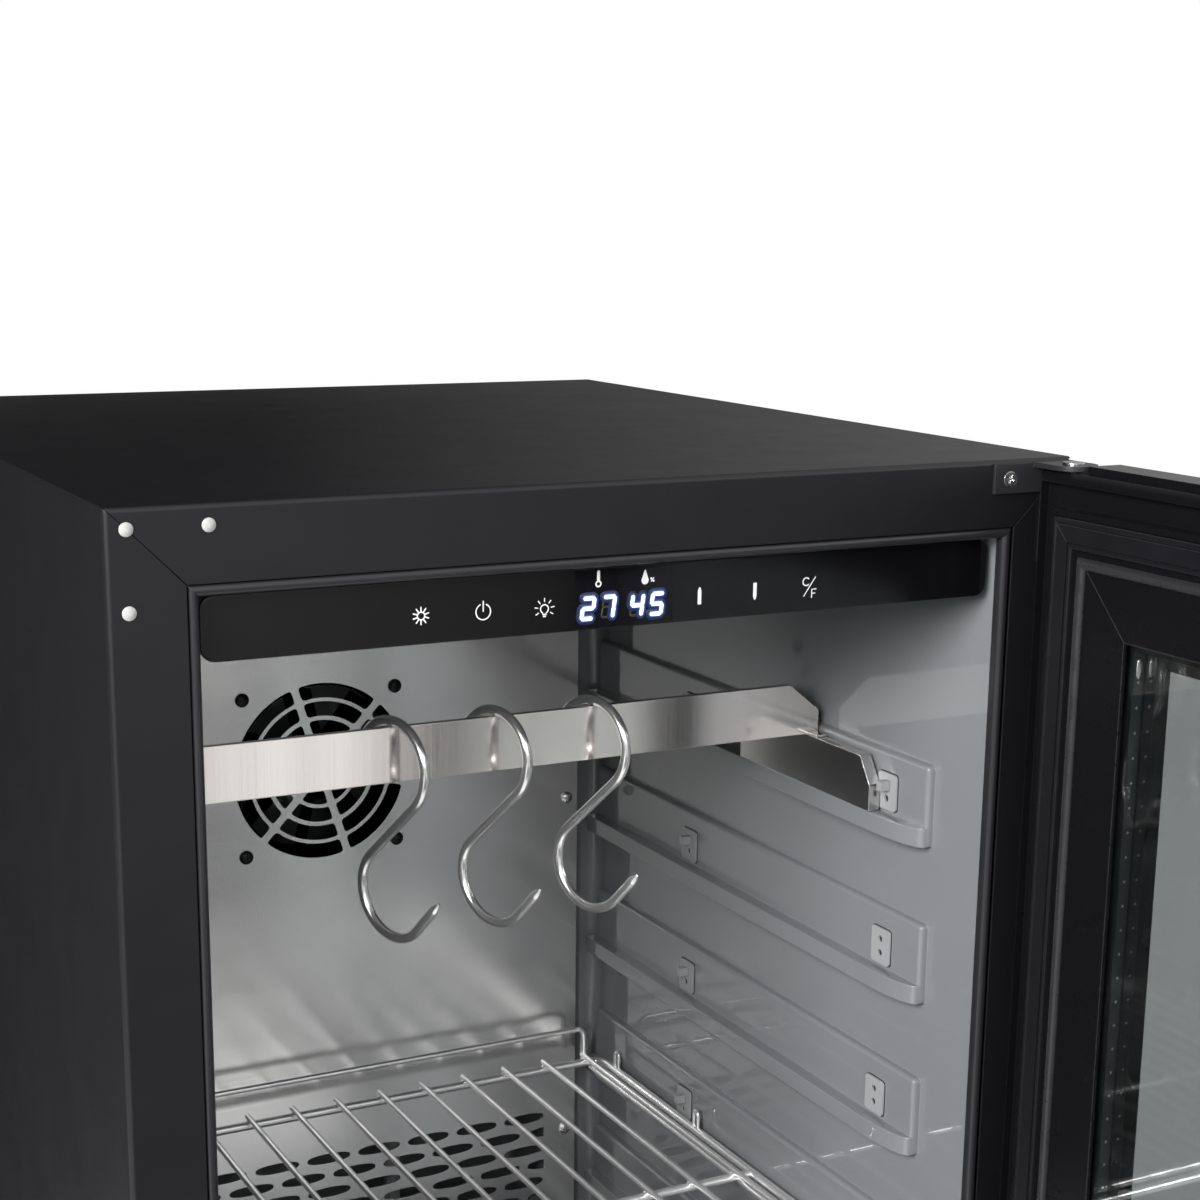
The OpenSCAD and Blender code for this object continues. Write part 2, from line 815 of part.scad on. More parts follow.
module condenser_fan_frame() {
    color("#1f1f22") translate([fan2_x, bay_mid_y, fan2_z]) rotate([0, 0, 90]) fan_housing();
    color("#1f1f22") box3([fan2_x - fan_depth, bay_mid_y - 20, pan_z1],
        [fan2_x, bay_mid_y + 20, fan2_z - fan_size / 2]);
}

module condenser_fan_rotor() {
    color("#2a2a2d") translate([fan2_x, bay_mid_y, fan2_z]) rotate([0, 0, 90]) fan_wheel();
}

module evaporator() {
    fins = 37;
    fin_pitch = 2 * evap_half / (fins - 1);
    z0 = evap_z1 - evap_h;
    rows = 4;
    row_pitch = evap_h / rows;
    color("#c3c6c8") {
        for (i = [0 : fins - 1]) {
            box3([-evap_half + i * fin_pitch - 0.3, evap_y, z0],
                [-evap_half + i * fin_pitch + 0.3, evap_y + evap_d, evap_z1]);
        }
        for (row = [0 : rows - 1]) {
            rod_x(evap_y + evap_d / 2, z0 + (row + 0.5) * row_pitch, 4, -evap_half - 6, evap_half + 6);
        }
    }
}

module drip_trough() {
    wall = 1.5;
    half = evap_half + 6;
    y0 = evap_y - 6;
    y1 = evap_y + evap_d + 6;
    z1 = trough_z0 + 16;
    color("#c9ccce") difference() {
        union() {
            box3([-half, y0, trough_z0], [half, y1, z1]);
            rod_z(drain_x, evap_y + 20, drain_r, bay_z - 6, trough_z0 + 1);
        }
        box3([wall - half, y0 + wall, trough_z0 + wall], [half - wall, y1 - wall, z1 + 1]);
        rod_z(drain_x, evap_y + 20, drain_r - 1.2, bay_z - 8, z1);
        rod_z(pipe_x, pipe_y, pipe_r + 0.3, trough_z0 - 1, z1);
    }
}

module sensor_probe() {
    z = fan_z + fan_size / 2 + 24;
    color("#dcdddd") {
        box3([60, cover_y + 1, z], [84, cover_y + 9, z + 44]);
        rod_z(72, cover_y + 5, 2.6, z - 12, z + 1);
    }
}

// Controls

module control_housing() {
    wall = 1.8;
    half = fascia_half - 2.5;
    y1 = housing_y0 + housing_d;
    z1 = ceiling_z - seat_gap;
    color("#222225") difference() {
        box3([-half, housing_y0, housing_z0], [half, y1, z1]);
        box3([-half + wall, housing_y0 - 1, housing_z0 + wall], [half - wall, y1 - wall, z1 - wall]);
    }
}

module control_fascia() {
    color("#0c0c0e") plate_y(fascia_y, fascia_y + fascia_t)
        translate([0, (fascia_z0 + fascia_z1) / 2]) rounded(2 * fascia_half, fascia_h, 6.5);
}

module display_board() {
    mid = (fascia_z0 + fascia_z1) / 2;
    half = fascia_half - 55.5;
    color("#1f5a3a") box3([-half, housing_y0 + 5, mid - 6], [half, housing_y0 + 6.6, mid + 9]);
    color("#101014") box3([-42, housing_y0 + 0.2, mid - 6], [42, housing_y0 + 5, mid + 7]);
    color("#1f5a3a") both_sides() {
        box3([half - 15, housing_y0 + 6.5, mid - 4], [half - 10, housing_y0 + housing_d - 2, mid + 4]);
    }
}

module interior_lamp() {
    z = housing_z0 - 2;
    lens = 2 * lamp_half - 12;
    color("#f2f4f6") {
        box3([-lamp_half, housing_y0 + 18, z], [lamp_half, housing_y0 + 38, z + 1.95]);
        translate([-lens / 2, housing_y0 + 28, z]) rotate([0, 90, 0]) intersection() {
            cylinder(r = 7, h = lens);
            translate([0, -7, 0]) cube([7, 14, lens]);
        }
    }
}

// Cooling unit

module compressor() {
    shell = 8;
    stub_y = bay_mid_y - 20;
    dome_r = 118;
    color("#161618") {
        difference() {
            union() {
                rod_z(comp_x, bay_mid_y, comp_r, comp_z0 + 6, comp_z0 + comp_h - 24);
                intersection() {
                    rod_z(comp_x, bay_mid_y, comp_r, comp_z0 + comp_h - 26, comp_z0 + comp_h + 1);
                    translate([comp_x, bay_mid_y, comp_z0 + comp_h - dome_r]) sphere(dome_r);
                }
            }
            rod_z(comp_x, bay_mid_y, comp_r - shell, comp_z0 + 12, comp_z0 + comp_h - 34);
        }
        translate([comp_x, bay_mid_y, comp_z0]) linear_extrude(6.5) difference() {
            rounded(152, 152, 16);
            for (x = [-1, 1], y = [-1, 1]) translate([x, y] * mount_in) circle(sleeve_r + 0.3);
        }
        translate([comp_x + comp_r - 4, bay_mid_y - 26, comp_z0 + 30]) cube([26, 52, 46]);
    }
    color("#b06a3a") rod_x(pipe_y, comp_z0 + 60, pipe_r, comp_x - comp_r - 12, shell_x(pipe_y) + 5);
    color("#b06a3a") rod_x(stub_y, comp_z0 + 40, pipe_r, comp_x - comp_r - 12, shell_x(stub_y) + 5);
}

module compressor_mounts() {
    for (x = [-1, 1], y = [-1, 1]) translate([comp_x + x * mount_in, bay_mid_y + y * mount_in, 0]) {
        color("#151515") difference() {
            union() {
                rod_z(0, 0, 10, pan_z1, comp_z0 - 0.02);
                rod_z(0, 0, sleeve_r, comp_z0 - 0.1, comp_z0 + 8);
            }
            rod_z(0, 0, bolt_r + pin_gap, 0, comp_z0 + 20);
        }
        color(steel) rod_z(0, 0, bolt_r, pan_z1 - pan_t, comp_z0 + 11);
        color(steel) rod_z(0, 0, 8, comp_z0 + 8.02, comp_z0 + 9.5);
    }
}

module condenser() {
    y0 = bay_y + 22;
    y1 = body_d - 26;
    z0 = pan_z1 + 0.05;
    z1 = bay_z - 12;
    fins = 31;
    fin_pitch = (y1 - y0) / (fins - 1);
    tubes = 4;
    color("#2d2e31") {
        for (i = [0 : fins - 1]) {
            box3([cond_x - cond_d, y0 + i * fin_pitch - 0.3, z0], [cond_x, y0 + i * fin_pitch + 0.3, z1]);
        }
        for (i = [0 : tubes - 1]) {
            rod_y(cond_x - cond_d / 2, z0 + (i + 0.5) * (z1 - z0) / tubes, 3.5, y0 - 6, y1 + 6);
        }
    }
}

// Copper pipe through a list of points, with a round bend at each square corner
module pipe(points) {
    last = len(points) - 1;
    let_in = 1.2;
    for (i = [0 : last - 1]) {
        step = points[i + 1] - points[i];
        dir = step / norm(step);
        start = i == 0 ? 0 : pipe_bend - let_in;
        end = norm(step) - (i == last - 1 ? 0 : pipe_bend - let_in);
        translate(points[i] + dir * start) rotate([0, acos(dir[2]), atan2(dir[1], dir[0])])
            cylinder(r = pipe_r - 0.08, h = end - start);
    }
    for (i = [1 : last - 1]) {
        a = (points[i] - points[i - 1]) / norm(points[i] - points[i - 1]);
        b = (points[i + 1] - points[i]) / norm(points[i + 1] - points[i]);
        n = cross(a, b);
        c = points[i] + (b - a) * pipe_bend;
        multmatrix([
            [-b[0], a[0], n[0], c[0]],
            [-b[1], a[1], n[1], c[1]],
            [-b[2], a[2], n[2], c[2]],
            [0, 0, 0, 1]
        ]) wire_bend(pipe_bend, 2 * pipe_r, 0, 90);
    }
}

module refrigerant_pipes() {
    stub_x = comp_x - comp_r - 12.1;
    low_z = pan_z1 + 6;
    front_y = bay_y + 9;
    coil_x = cond_x - cond_d / 2;
    color("#b87445") {
        pipe([
            [stub_x, pipe_y, comp_z0 + 60],
            [pipe_x, pipe_y, comp_z0 + 60],
            [pipe_x, pipe_y, evap_z1 - evap_h - 2]
        ]);
        pipe([
            [stub_x, bay_mid_y - 20, comp_z0 + 40],
            [stub_x - 24, bay_mid_y - 20, comp_z0 + 40],
            [stub_x - 24, front_y, comp_z0 + 40],
            [stub_x - 24, front_y, low_z],
            [coil_x, front_y, low_z],
            [coil_x, front_y, pan_z1 + 60]
        ]);
        rod_z(drier_x, bay_y + 40, 8, pan_z1 + 20, pan_z1 + 100);
        rod_z(drier_x, bay_y + 40, 2.5, pan_z1, pan_z1 + 110);
    }
}

module evaporating_tray() {
    half = 62;
    wall = 2;
    color("#3b3d40") translate([comp_x, bay_mid_y, comp_z0 + comp_h + 2]) {
        difference() {
            box3([-half, -half, 0], [half, half, 15]);
            box3([wall - half, wall - half, wall], [half - wall, half - wall, 20]);
        }
        rod_z(0, 0, 10, -1.98, 0.5);
    }
}

// Hanging rail, hooks and shelf

module hanging_bar() {
    chamfer = [20, 16];
    tab = 8;
    color(steel) plate_y(bar_y - bar_t / 2, bar_y + bar_t / 2) polygon([
        [-bar_half, bar_z0],
        [bar_half, bar_z0],
        [bar_half, bar_z1 - chamfer[1]],
        [bar_half - chamfer[0], bar_z1],
        [-bar_half + chamfer[0], bar_z1],
        [-bar_half, bar_z1 - chamfer[1]]
    ]);
    color(steel) both_sides() {
        box3([bar_half - tab, bar_y - 12, bar_z0], [bar_half, bar_y - bar_t / 2 + 0.1, bar_z0 + 1.5]);
    }
}

// Folded tray bracket that stands on the first ledge and carries the bar
module rail_brackets() {
    wall = 1.5;
    outer = pad_x - clip_t - slide_gap;
    inner = ledge_x - 1;
    y1 = bracket_y0 + bracket_l;
    z0 = ledge1_z + seat_gap;
    chamfer = [10, 15];
    color(steel) both_sides() difference() {
        translate([inner, 0, 0]) rotate([90, 0, 90]) linear_extrude(outer - inner) polygon([
            [bracket_y0, z0],
            [y1, z0],
            [y1, bracket_top],
            [bracket_y0 + chamfer[0], bracket_top],
            [bracket_y0, bracket_top - chamfer[1]]
        ]);
        box3([inner + wall, bracket_y0 + chamfer[0] + wall, z0 + wall],
            [outer + 1, y1 - wall, bracket_top - wall]);
    }
}

// Wire bend in the XY plane from one angle to another
module wire_bend(r, wire, from, to) {
    rotate([0, 0, from]) rotate_extrude(angle = to - from) translate([r, 0]) circle(wire / 2);
}

// S hook drawn in its own plane and turned on the bar
module hook(x) {
    tip = 23.5;
    point = 6;
    tip_angle = 320;
    back_angle = 205;
    let_in = 1.2;
    wire_r = hook_wire / 2 - 0.08;
    reach = sqrt(pow(hook_top_z - hook_low_z, 2) - pow(2 * hook_r, 2));
    color(chrome) translate([x, bar_y, 0]) rotate([0, 0, -hook_turn]) rotate([90, 0, 0]) {
        translate([0, hook_top_z, 0]) wire_bend(hook_r, hook_wire, -hook_lean, back_angle);
        translate([0, hook_low_z, 0]) wire_bend(hook_r, hook_wire, 180 - hook_lean, tip_angle);
        translate([0, hook_top_z, 0]) rotate([0, 0, -hook_lean]) translate([hook_r, let_in, 0])
            rotate([90, 0, 0]) cylinder(r = wire_r, h = reach + 2 * let_in);
        translate([0, hook_low_z, 0]) rotate([0, 0, tip_angle]) translate([hook_r, -let_in, 0])
            rotate([-90, 0, 0]) rotate_extrude() polygon([
                [0, 0],
                [wire_r, 0],
                [wire_r, let_in + tip - point],
                [0.6, let_in + tip],
                [0, let_in + tip]
            ]);
    }
}

module left_hook() {
    hook(hook_mid_x - hook_pitch);
}

module middle_hook() {
    hook(hook_mid_x);
}

module right_hook() {
    hook(hook_mid_x + hook_pitch);
}

// Wire rectangle with rounded corners
module wire_loop(half, y0, y1, corner, wire) {
    for (y = [y0, y1]) rod_x(y, 0, wire / 2, -half + corner, half - corner);
    both_sides() rod_y(half, 0, wire / 2, y0 + corner, y1 - corner);
    both_sides() translate([half - corner, y1 - corner, 0]) wire_bend(corner, wire, 0, 90);
    both_sides() translate([half - corner, y0 + corner, 0]) wire_bend(corner, wire, -90, 0);
}

// Small loop standing on the shelf's side wire
module stop_loop(y) {
    wire = 2.4;
    gap = 2.6;
    rise = 11;
    for (s = [-1, 1]) rod_z(shelf_x, y + s * gap, wire / 2 - 0.04, shelf_z, shelf_z + rise + 0.6);
    translate([shelf_x, y, shelf_z + rise]) rotate([90, 0, 90]) wire_bend(gap, wire, 0, 180);
}

module wire_shelf() {
    under_z = shelf_z - frame_wire / 2 - rung_wire / 2 + 0.8;
    color(chrome) {
        translate([0, 0, shelf_z]) wire_loop(shelf_x, shelf_y0, shelf_y1, shelf_corner, frame_wire);
        for (x = [-rung_half : rung_pitch : rung_half]) {
            rod_y(x, rung_z, rung_wire / 2, shelf_y0 - 4, shelf_y1 + 4.5);
        }
        for (y = [shelf_y0 + 14, shelf_y0 + 0.3825 * (shelf_y1 - shelf_y0)]) {
            rod_x(y, shelf_z, frame_wire / 2 - 0.4, -shelf_x, shelf_x);
        }
        both_sides() rod_y(shelf_x - 8, under_z, rung_wire / 2, shelf_y0, shelf_y1);
    }
}

// Rear upstand and stop loops welded to the shelf's frame wire
module shelf_upstand() {
    stand = 24;
    stand_half = shelf_x - 12;
    stand_y = shelf_y1 + frame_wire / 2 + rung_wire / 2 - 0.6;
    bend = 6;
    color(chrome) {
        rod_x(stand_y, shelf_z + stand, rung_wire / 2 - 0.04, bend - stand_half - 1, stand_half - bend + 1);
        both_sides() {
            rod_z(stand_half, stand_y, rung_wire / 2 - 0.04, shelf_z - 1, shelf_z + stand - bend + 1);
            translate([stand_half - bend, stand_y, shelf_z + stand - bend]) rotate([90, 0, 0])
                wire_bend(bend, rung_wire, 0, 90);
            for (y = [shelf_y1 - 24, clip_back_y - 25]) stop_loop(y);
        }
    }
}

// Hinges

// Bracket with its L-shaped plate on the flange and a tongue that carries the pin
module hinge_bracket(plate_z, tongue_z, down) {
    leg = 14;
    x1 = half_w - 4.5;
    x0 = half_w - screw_far - 9.5;
    z1 = plate_z - down * 1.7;
    difference() {
        union() {
            box3([x0, -plate_t, z1 - 15], [x1, 0, z1]);
            box3([x1 - leg, -plate_t, z1 - 51], [x1, 0, z1]);
            translate([0, 0, tongue_z]) linear_extrude(tongue_t) {
                translate([hinge_x - tongue_r, -hinge_out]) square([2 * tongue_r - 0.5, hinge_out]);
                translate([hinge_x, -hinge_out]) circle(tongue_r);
            }
        }
        rod_z(hinge_x, -hinge_out, pin_r + pin_gap, tongue_z - 1, tongue_z + tongue_t + 1);
        for (p = corner_holes(1, screw_far, plate_z, 1)) {
            rod_y(p[0], p[1], screw_r + 0.3, -plate_t - 1, 1);
            translate([p[0], -plate_t - 0.01, p[1]]) rotate([-90, 0, 0])
                cylinder(r1 = 4.1, r2 = screw_r, h = plate_t);
        }
    }
}

module top_hinge_bracket() {
    color("#1e1e21") hinge_bracket(cab_h, cab_h - 4, 1);
}

module bottom_hinge_bracket() {
    color("#1e1e21") hinge_bracket(lower_plate_z, lower_plate_z - tongue_t, 0);
}

module hinge_pins() {
    color(steel) {
        rod_z(hinge_x, -hinge_out, pin_r, door_z1 - pin_depth, cab_h - 1);
        rod_z(hinge_x, -hinge_out, pin_r + 1.5, cab_h - 1.48, cab_h - 0.4);
        rod_z(hinge_x, -hinge_out, pin_r, lower_plate_z - 3, door_z0 + pin_depth);
        rod_z(hinge_x, -hinge_out, pin_r + 1.5, lower_plate_z - 4, lower_plate_z - tongue_t - 0.02);
    }
}

module hinge_screws() {
    color(steel) for (p = screw_places) difference() {
        union() {
            translate([p[0], -plate_t + 0.02, p[1]]) rotate([-90, 0, 0])
                cylinder(r1 = 3.9, r2 = screw_r, h = plate_t - 0.1);
            rod_y(p[0], p[1], screw_r, -0.3, 12);
        }
        for (a = [20, 110]) {
            translate([p[0], -plate_t, p[1]]) rotate([0, a, 0]) cube([4.6, 1.8, 0.9], center = true);
        }
    }
}

module hinge_plugs() {
    color("#e8e8e6") for (p = plug_places) {
        translate([p[0], -0.01, p[1]]) rotate([90, 0, 0]) intersection() {
            cylinder(r = 3.05, h = 1.3);
            translate([0, 0, 1.3 - 6]) sphere(6);
        }
        rod_y(p[0], p[1], plug_r, -0.2, 6);
    }
}

// Door

// Section of the door frame, inward from its outer edge and with the flange plane at y = 0
module door_section() {
    difference() {
        union() {
            translate([0, -door_t]) square([pane_r - 1, door_t + face_y]);
            translate([0, face_y - lip_t]) square([border_r, lip_t]);
            translate([0, -door_t]) square([front_lip_r, door_t + glass_back]);
            translate([step_r, face_y - 1]) square([gasket_r - step_r - 0.8, 2]);
        }
        translate([rim_w, -10]) square([groove_w, 20]);
        translate([gasket_r + 5.7, face_y - 5.5]) square([4.6, 10]);
        difference() {
            translate([-1, -hinge_out]) square([hinge_in + 1, hinge_out + 1]);
            translate([hinge_in, -hinge_out]) circle(swing_r);
        }
    }
}

module pin_sockets() {
    for (z = [[door_z1 - pin_depth - 2, door_z1 + 1], [door_z0 - 1, door_z0 + pin_depth + 2]]) {
        rod_z(hinge_x, -hinge_out, bush_r + pin_gap, z[0], z[1]);
    }
}

module door_member(side) {
    difference() {
        frame_side(side, cab_w, door_z0, door_z1, border_r, mitre_gap / 4) door_section();
        pin_sockets();
    }
}

module door_hinge_stile() {
    color(black) door_pose() door_member("right");
}

module door_handle_stile() {
    color(black) door_pose() difference() {
        door_member("left");
        for (z = handle_posts) rod_y(-handle_x, z, handle_stud_r + pin_gap, -door_t - 1, -door_t + 18);
    }
}

module door_top_rail() {
    cap_x = hinge_x - tongue_r - 1.5;
    color(black) door_pose() {
        door_member("top");
        box3([mitre_gap - half_w, -door_t, door_z1 - 0.1], [cap_x, 2 - hinge_out, cab_h - 1]);
    }
}

module door_bottom_rail() {
    color(black) door_pose() door_member("bottom");
}

module pane(y1, t, r) {
    box3([-half_w + r, y1 - t, door_z0 + r], [half_w - r, y1, door_z1 - r]);
}

module inner_glass() {
    color("#9fb4b8", 0.35) door_pose() pane(glass_y, pane_t, pane_r);
}

module middle_glass() {
    color("#9fb4b8", 0.35) door_pose() pane(middle_y, pane_t, pane_r);
}

module outer_glass() {
    color("#5f6a6e", 0.35) door_pose() pane(outer_y, outer_pane_t, pane_r);
}

// Perforated spacer frame between two panes
module spacer(y1) {
    edge = pane_r + 7;
    wide = spacer_r - edge;
    thick = pane_gap - 0.04;
    face_x = half_w - spacer_r;
    hole_pitch = 12.5;
    dots = floor((door_h - 2 * spacer_r - 20) / hole_pitch / 2);
    difference() {
        translate([0, y1 - pane_gap + 0.02, 0])
            whole_frame(cab_w - 2 * edge, door_z0 + edge, door_z1 - edge, wide) square([wide, thick]);
        both_sides() for (i = [-dots : dots]) {
            rod_x(y1 - pane_gap / 2, door_zc + i * hole_pitch, 0.8, face_x - 1, face_x + 0.8);
        }
    }
}

module glass_spacers() {
    color("#4a4d50") door_pose() for (y = [glass_y, middle_y]) spacer(y - pane_t);
}

module glazing_bead() {
    color("#3a3a3e") door_pose() translate([0, face_y + 0.02, 0])
        whole_frame(cab_w - 2 * bead_r, door_z0 + bead_r, door_z1 - bead_r, bead_w) intersection() {
            translate([bead_w / 2, 0]) circle(bead_w / 2 - 0.2);
            square([bead_w, bead_w]);
        }
}

module door_gasket() {
    rib = 1.1;
    color("#2c2c30") door_pose() translate([0, face_y, 0])
        whole_frame(cab_w - 2 * gasket_r, door_z0 + gasket_r, door_z1 - gasket_r, gasket_w) {
            translate([0, 0.02]) square([gasket_w, 1.4]);
            translate([3, 1.3]) square([gasket_w - 6, 1.6]);
            for (r = [rib, gasket_w - rib]) translate([r, 1.6]) circle(rib);
            translate([5.9, -5.3]) square([4.2, 5.4]);
        }
}

module hinge_bushes() {
    spans = [[door_z1 - pin_depth - 1, door_z1], [door_z0, door_z0 + pin_depth + 1]];
    color("#d8d4c8") door_pose() for (z = spans) {
        difference() {
            rod_z(hinge_x, -hinge_out, bush_r, z[0], z[1]);
            rod_z(hinge_x, -hinge_out, pin_r + pin_gap, z[0] - 1, z[1] + 1);
        }
    }
}

module door_handle() {
    bar_y = -door_t - handle_out;
    color(steel) door_pose() {
        rod_z(-handle_x, bar_y, handle_d / 2, door_zc - handle_l / 2, door_zc + handle_l / 2);
        for (z = handle_posts) {
            rod_y(-handle_x, z, handle_d / 2 - 2, bar_y, -door_t - 0.02);
            rod_y(-handle_x, z, handle_stud_r, -door_t - 1, -door_t + 16);
        }
    }
}

left_side_panel();
right_side_panel();
top_panel();
back_panel();
base_pan();
front_crossrail();
kick_grille();
insulation_foam();
inner_liner();
opening_trim();
rear_bay_cover();
power_inlet();
rear_feet();
front_left_foot();
front_right_foot();
clip_plates();
clip_pegs();
evaporator_cover();
cover_screws();
fan_frame();
fan_rotor();
fan_screws();
evaporator();
drip_trough();
sensor_probe();
control_housing();
control_fascia();
display_board();
interior_lamp();
compressor();
compressor_mounts();
condenser();
condenser_fan_frame();
condenser_fan_rotor();
refrigerant_pipes();
evaporating_tray();
hanging_bar();
rail_brackets();
left_hook();
middle_hook();
right_hook();
wire_shelf();
shelf_upstand();
top_hinge_bracket();
bottom_hinge_bracket();
hinge_pins();
hinge_screws();
hinge_plugs();
door_hinge_stile();
door_handle_stile();
door_top_rail();
door_bottom_rail();
outer_glass();
middle_glass();
inner_glass();
glass_spacers();
glazing_bead();
door_gasket();
hinge_bushes();
door_handle();
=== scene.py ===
import json
import math

import bmesh
import bpy
from mathutils import Matrix, Vector

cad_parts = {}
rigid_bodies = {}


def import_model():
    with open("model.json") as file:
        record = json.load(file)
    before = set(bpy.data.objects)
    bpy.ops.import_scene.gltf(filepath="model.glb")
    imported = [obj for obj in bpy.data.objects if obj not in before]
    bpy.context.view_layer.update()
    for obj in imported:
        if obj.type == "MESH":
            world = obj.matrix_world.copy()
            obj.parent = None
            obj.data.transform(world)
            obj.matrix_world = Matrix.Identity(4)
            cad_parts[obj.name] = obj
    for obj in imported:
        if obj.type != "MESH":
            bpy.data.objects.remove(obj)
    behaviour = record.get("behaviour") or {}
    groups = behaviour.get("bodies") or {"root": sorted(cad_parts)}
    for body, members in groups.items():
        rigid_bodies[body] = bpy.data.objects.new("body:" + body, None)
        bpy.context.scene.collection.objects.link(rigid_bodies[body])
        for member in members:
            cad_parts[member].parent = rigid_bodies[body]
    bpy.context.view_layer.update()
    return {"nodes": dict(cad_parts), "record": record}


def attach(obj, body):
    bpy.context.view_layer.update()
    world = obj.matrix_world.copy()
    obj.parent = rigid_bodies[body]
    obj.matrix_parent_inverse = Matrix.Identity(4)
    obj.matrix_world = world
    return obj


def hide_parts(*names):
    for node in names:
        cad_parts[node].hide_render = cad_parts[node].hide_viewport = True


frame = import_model()
NODES = frame["nodes"]
SLOT = {s["node"]: s["material_slot"] for s in frame["record"]["subparts"]}
BODY = {n: b for b, ns in frame["record"]["behaviour"]["bodies"].items() for n in ns}
MM = 0.001
MERGE = 0.001 * MM
AX, AY, AZ = Vector((1, 0, 0)), Vector((0, 1, 0)), Vector((0, 0, 1))
CORNERS = ((-1, -1), (1, -1), (1, 1), (-1, 1))  # sides of the four corners of a rectangle, in turn


# Camera matched to the photograph's view

CAM_POS = Vector((-0.463734, -0.853766, 0.957896))
CAM_YAW, CAM_PITCH, CAM_ROLL = 0.479293, 0.233241, -0.010871
CAM_SENSOR, CAM_FOCAL_PX, PHOTO_PX, CAM_SHIFT = 36, 2136.84, 1200, 0.1

fwd = Vector((math.sin(CAM_YAW) * math.cos(CAM_PITCH), math.cos(CAM_YAW) * math.cos(CAM_PITCH),
              -math.sin(CAM_PITCH)))
level_right = Vector((math.cos(CAM_YAW), -math.sin(CAM_YAW), 0))
level_down = fwd.cross(level_right)
right = math.cos(CAM_ROLL) * level_right + math.sin(CAM_ROLL) * level_down
down = -math.sin(CAM_ROLL) * level_right + math.cos(CAM_ROLL) * level_down
camera = bpy.data.objects.new("camera", bpy.data.cameras.new("camera"))
bpy.context.scene.collection.objects.link(camera)
camera.matrix_world = Matrix.Translation(CAM_POS) @ Matrix((right, -down, -fwd)).transposed().to_4x4()
camera.data.sensor_fit = "HORIZONTAL"
camera.data.sensor_width = CAM_SENSOR
camera.data.lens = CAM_SENSOR * CAM_FOCAL_PX / PHOTO_PX
camera.data.shift_y = CAM_SHIFT
camera.data.clip_start = 0.01
bpy.context.scene.camera = camera


# Materials

class Mat:
    """A material with its shader, and short ways to add texture nodes in metres."""

    def __init__(self, name, color, rough, metal=0.0, **sockets):
        self.mat = bpy.data.materials.new(name)
        self.mat.use_nodes = True
        self.tree = self.mat.node_tree
        self.bsdf = self.tree.nodes["Principled BSDF"]
        self.color = color
        self.rough = rough
        self.set("Base Color", (*color, 1))
        self.set("Roughness", rough)
        self.set("Metallic", metal)
        for key, value in sockets.items():
            self.set(key.replace("_", " "), value)

    def set(self, socket, value):
        self.bsdf.inputs[socket].default_value = value

    def node(self, kind, **inputs):
        n = self.tree.nodes.new("ShaderNode" + kind)
        for key, value in inputs.items():
            socket = n.inputs[key.replace("_", " ")]
            if isinstance(value, bpy.types.NodeSocket):
                self.tree.links.new(value, socket)
            else:
                socket.default_value = value
        return n

    def link(self, out, socket):
        self.tree.links.new(out, self.bsdf.inputs[socket])

    def coords(self, stretch=(1, 1, 1)):
        at = self.tree.nodes.new("ShaderNodeTexCoord").outputs["Object"]
        return self.node("Mapping", Vector=at, Scale=stretch).outputs["Vector"]

    def noise(self, scale, detail, stretch=(1, 1, 1), rough=0.55):
        return self.node("TexNoise", Vector=self.coords(stretch), Scale=scale, Detail=detail,
                         Roughness=rough).outputs["Fac"]

    def ramp(self, value, low, high, a=0.3, b=0.7):
        n = self.node("MapRange", Value=value, From_Min=a, From_Max=b, To_Min=low, To_Max=high)
        return n.outputs["Result"]

    def blend(self, factor, first, second):
        """Base colour that goes from first to second with factor."""
        n = self.tree.nodes.new("ShaderNodeMix")
        n.data_type = "RGBA"
        self.tree.links.new(factor, n.inputs["Factor"])
        n.inputs["A"].default_value = (*first, 1)
        n.inputs["B"].default_value = (*second, 1)
        self.link(n.outputs["Result"], "Base Color")

    def tint(self, value, spread):
        """Colour varied up and down from its base by a share."""
        dark = [c * (1 - spread) for c in self.color]
        light = [min(1, c * (1 + spread)) for c in self.color]
        self.blend(self.ramp(value, 0, 1), dark, light)

    def bump(self, value, depth, strength, edge=0.0):
        """Fine relief. edge is the radius at which sharp edges are shaded round."""
        n = self.node("Bump", Height=value, Distance=depth, Strength=strength)
        if edge:
            rounded = self.tree.nodes.new("ShaderNodeBevel")
            rounded.samples = 4
            rounded.inputs["Radius"].default_value = edge
            self.tree.links.new(rounded.outputs["Normal"], n.inputs["Normal"])
        self.link(n.outputs["Normal"], "Normal")

    def wave(self, value, depth):
        """Slow unevenness between the fine bump and its rounded edges."""
        fine = self.bsdf.inputs["Normal"].links[0].from_node
        under = fine.inputs["Normal"]
        rounded = under.links[0].from_socket
        slow = self.node("Bump", Height=value, Distance=depth, Strength=1.0, Normal=rounded)
        self.tree.links.new(slow.outputs["Normal"], under)

    def rough_by(self, value, spread):
        low, high = max(0.02, self.rough - spread), min(1, self.rough + spread)
        self.link(self.ramp(value, low, high), "Roughness")


def powder_coat(name, color, rough, specular=0.3, top=None):
    """Fine orange-peel paint. top is a stronger sheen on faces that look up."""
    m = Mat(name, color, rough, Specular_IOR_Level=specular)
    if top:
        normal = m.tree.nodes.new("ShaderNodeNewGeometry").outputs["Normal"]
        up = m.node("SeparateXYZ", Vector=normal).outputs["Z"]
        m.link(m.ramp(up, specular, top, 0.5, 0.9), "Specular IOR Level")
    m.bump(m.noise(900, 2), 0.00004, 0.35, 0.0006)
    m.rough_by(m.noise(35, 4), 0.02)
    m.tint(m.noise(9, 4), 0.03)
    return m.mat


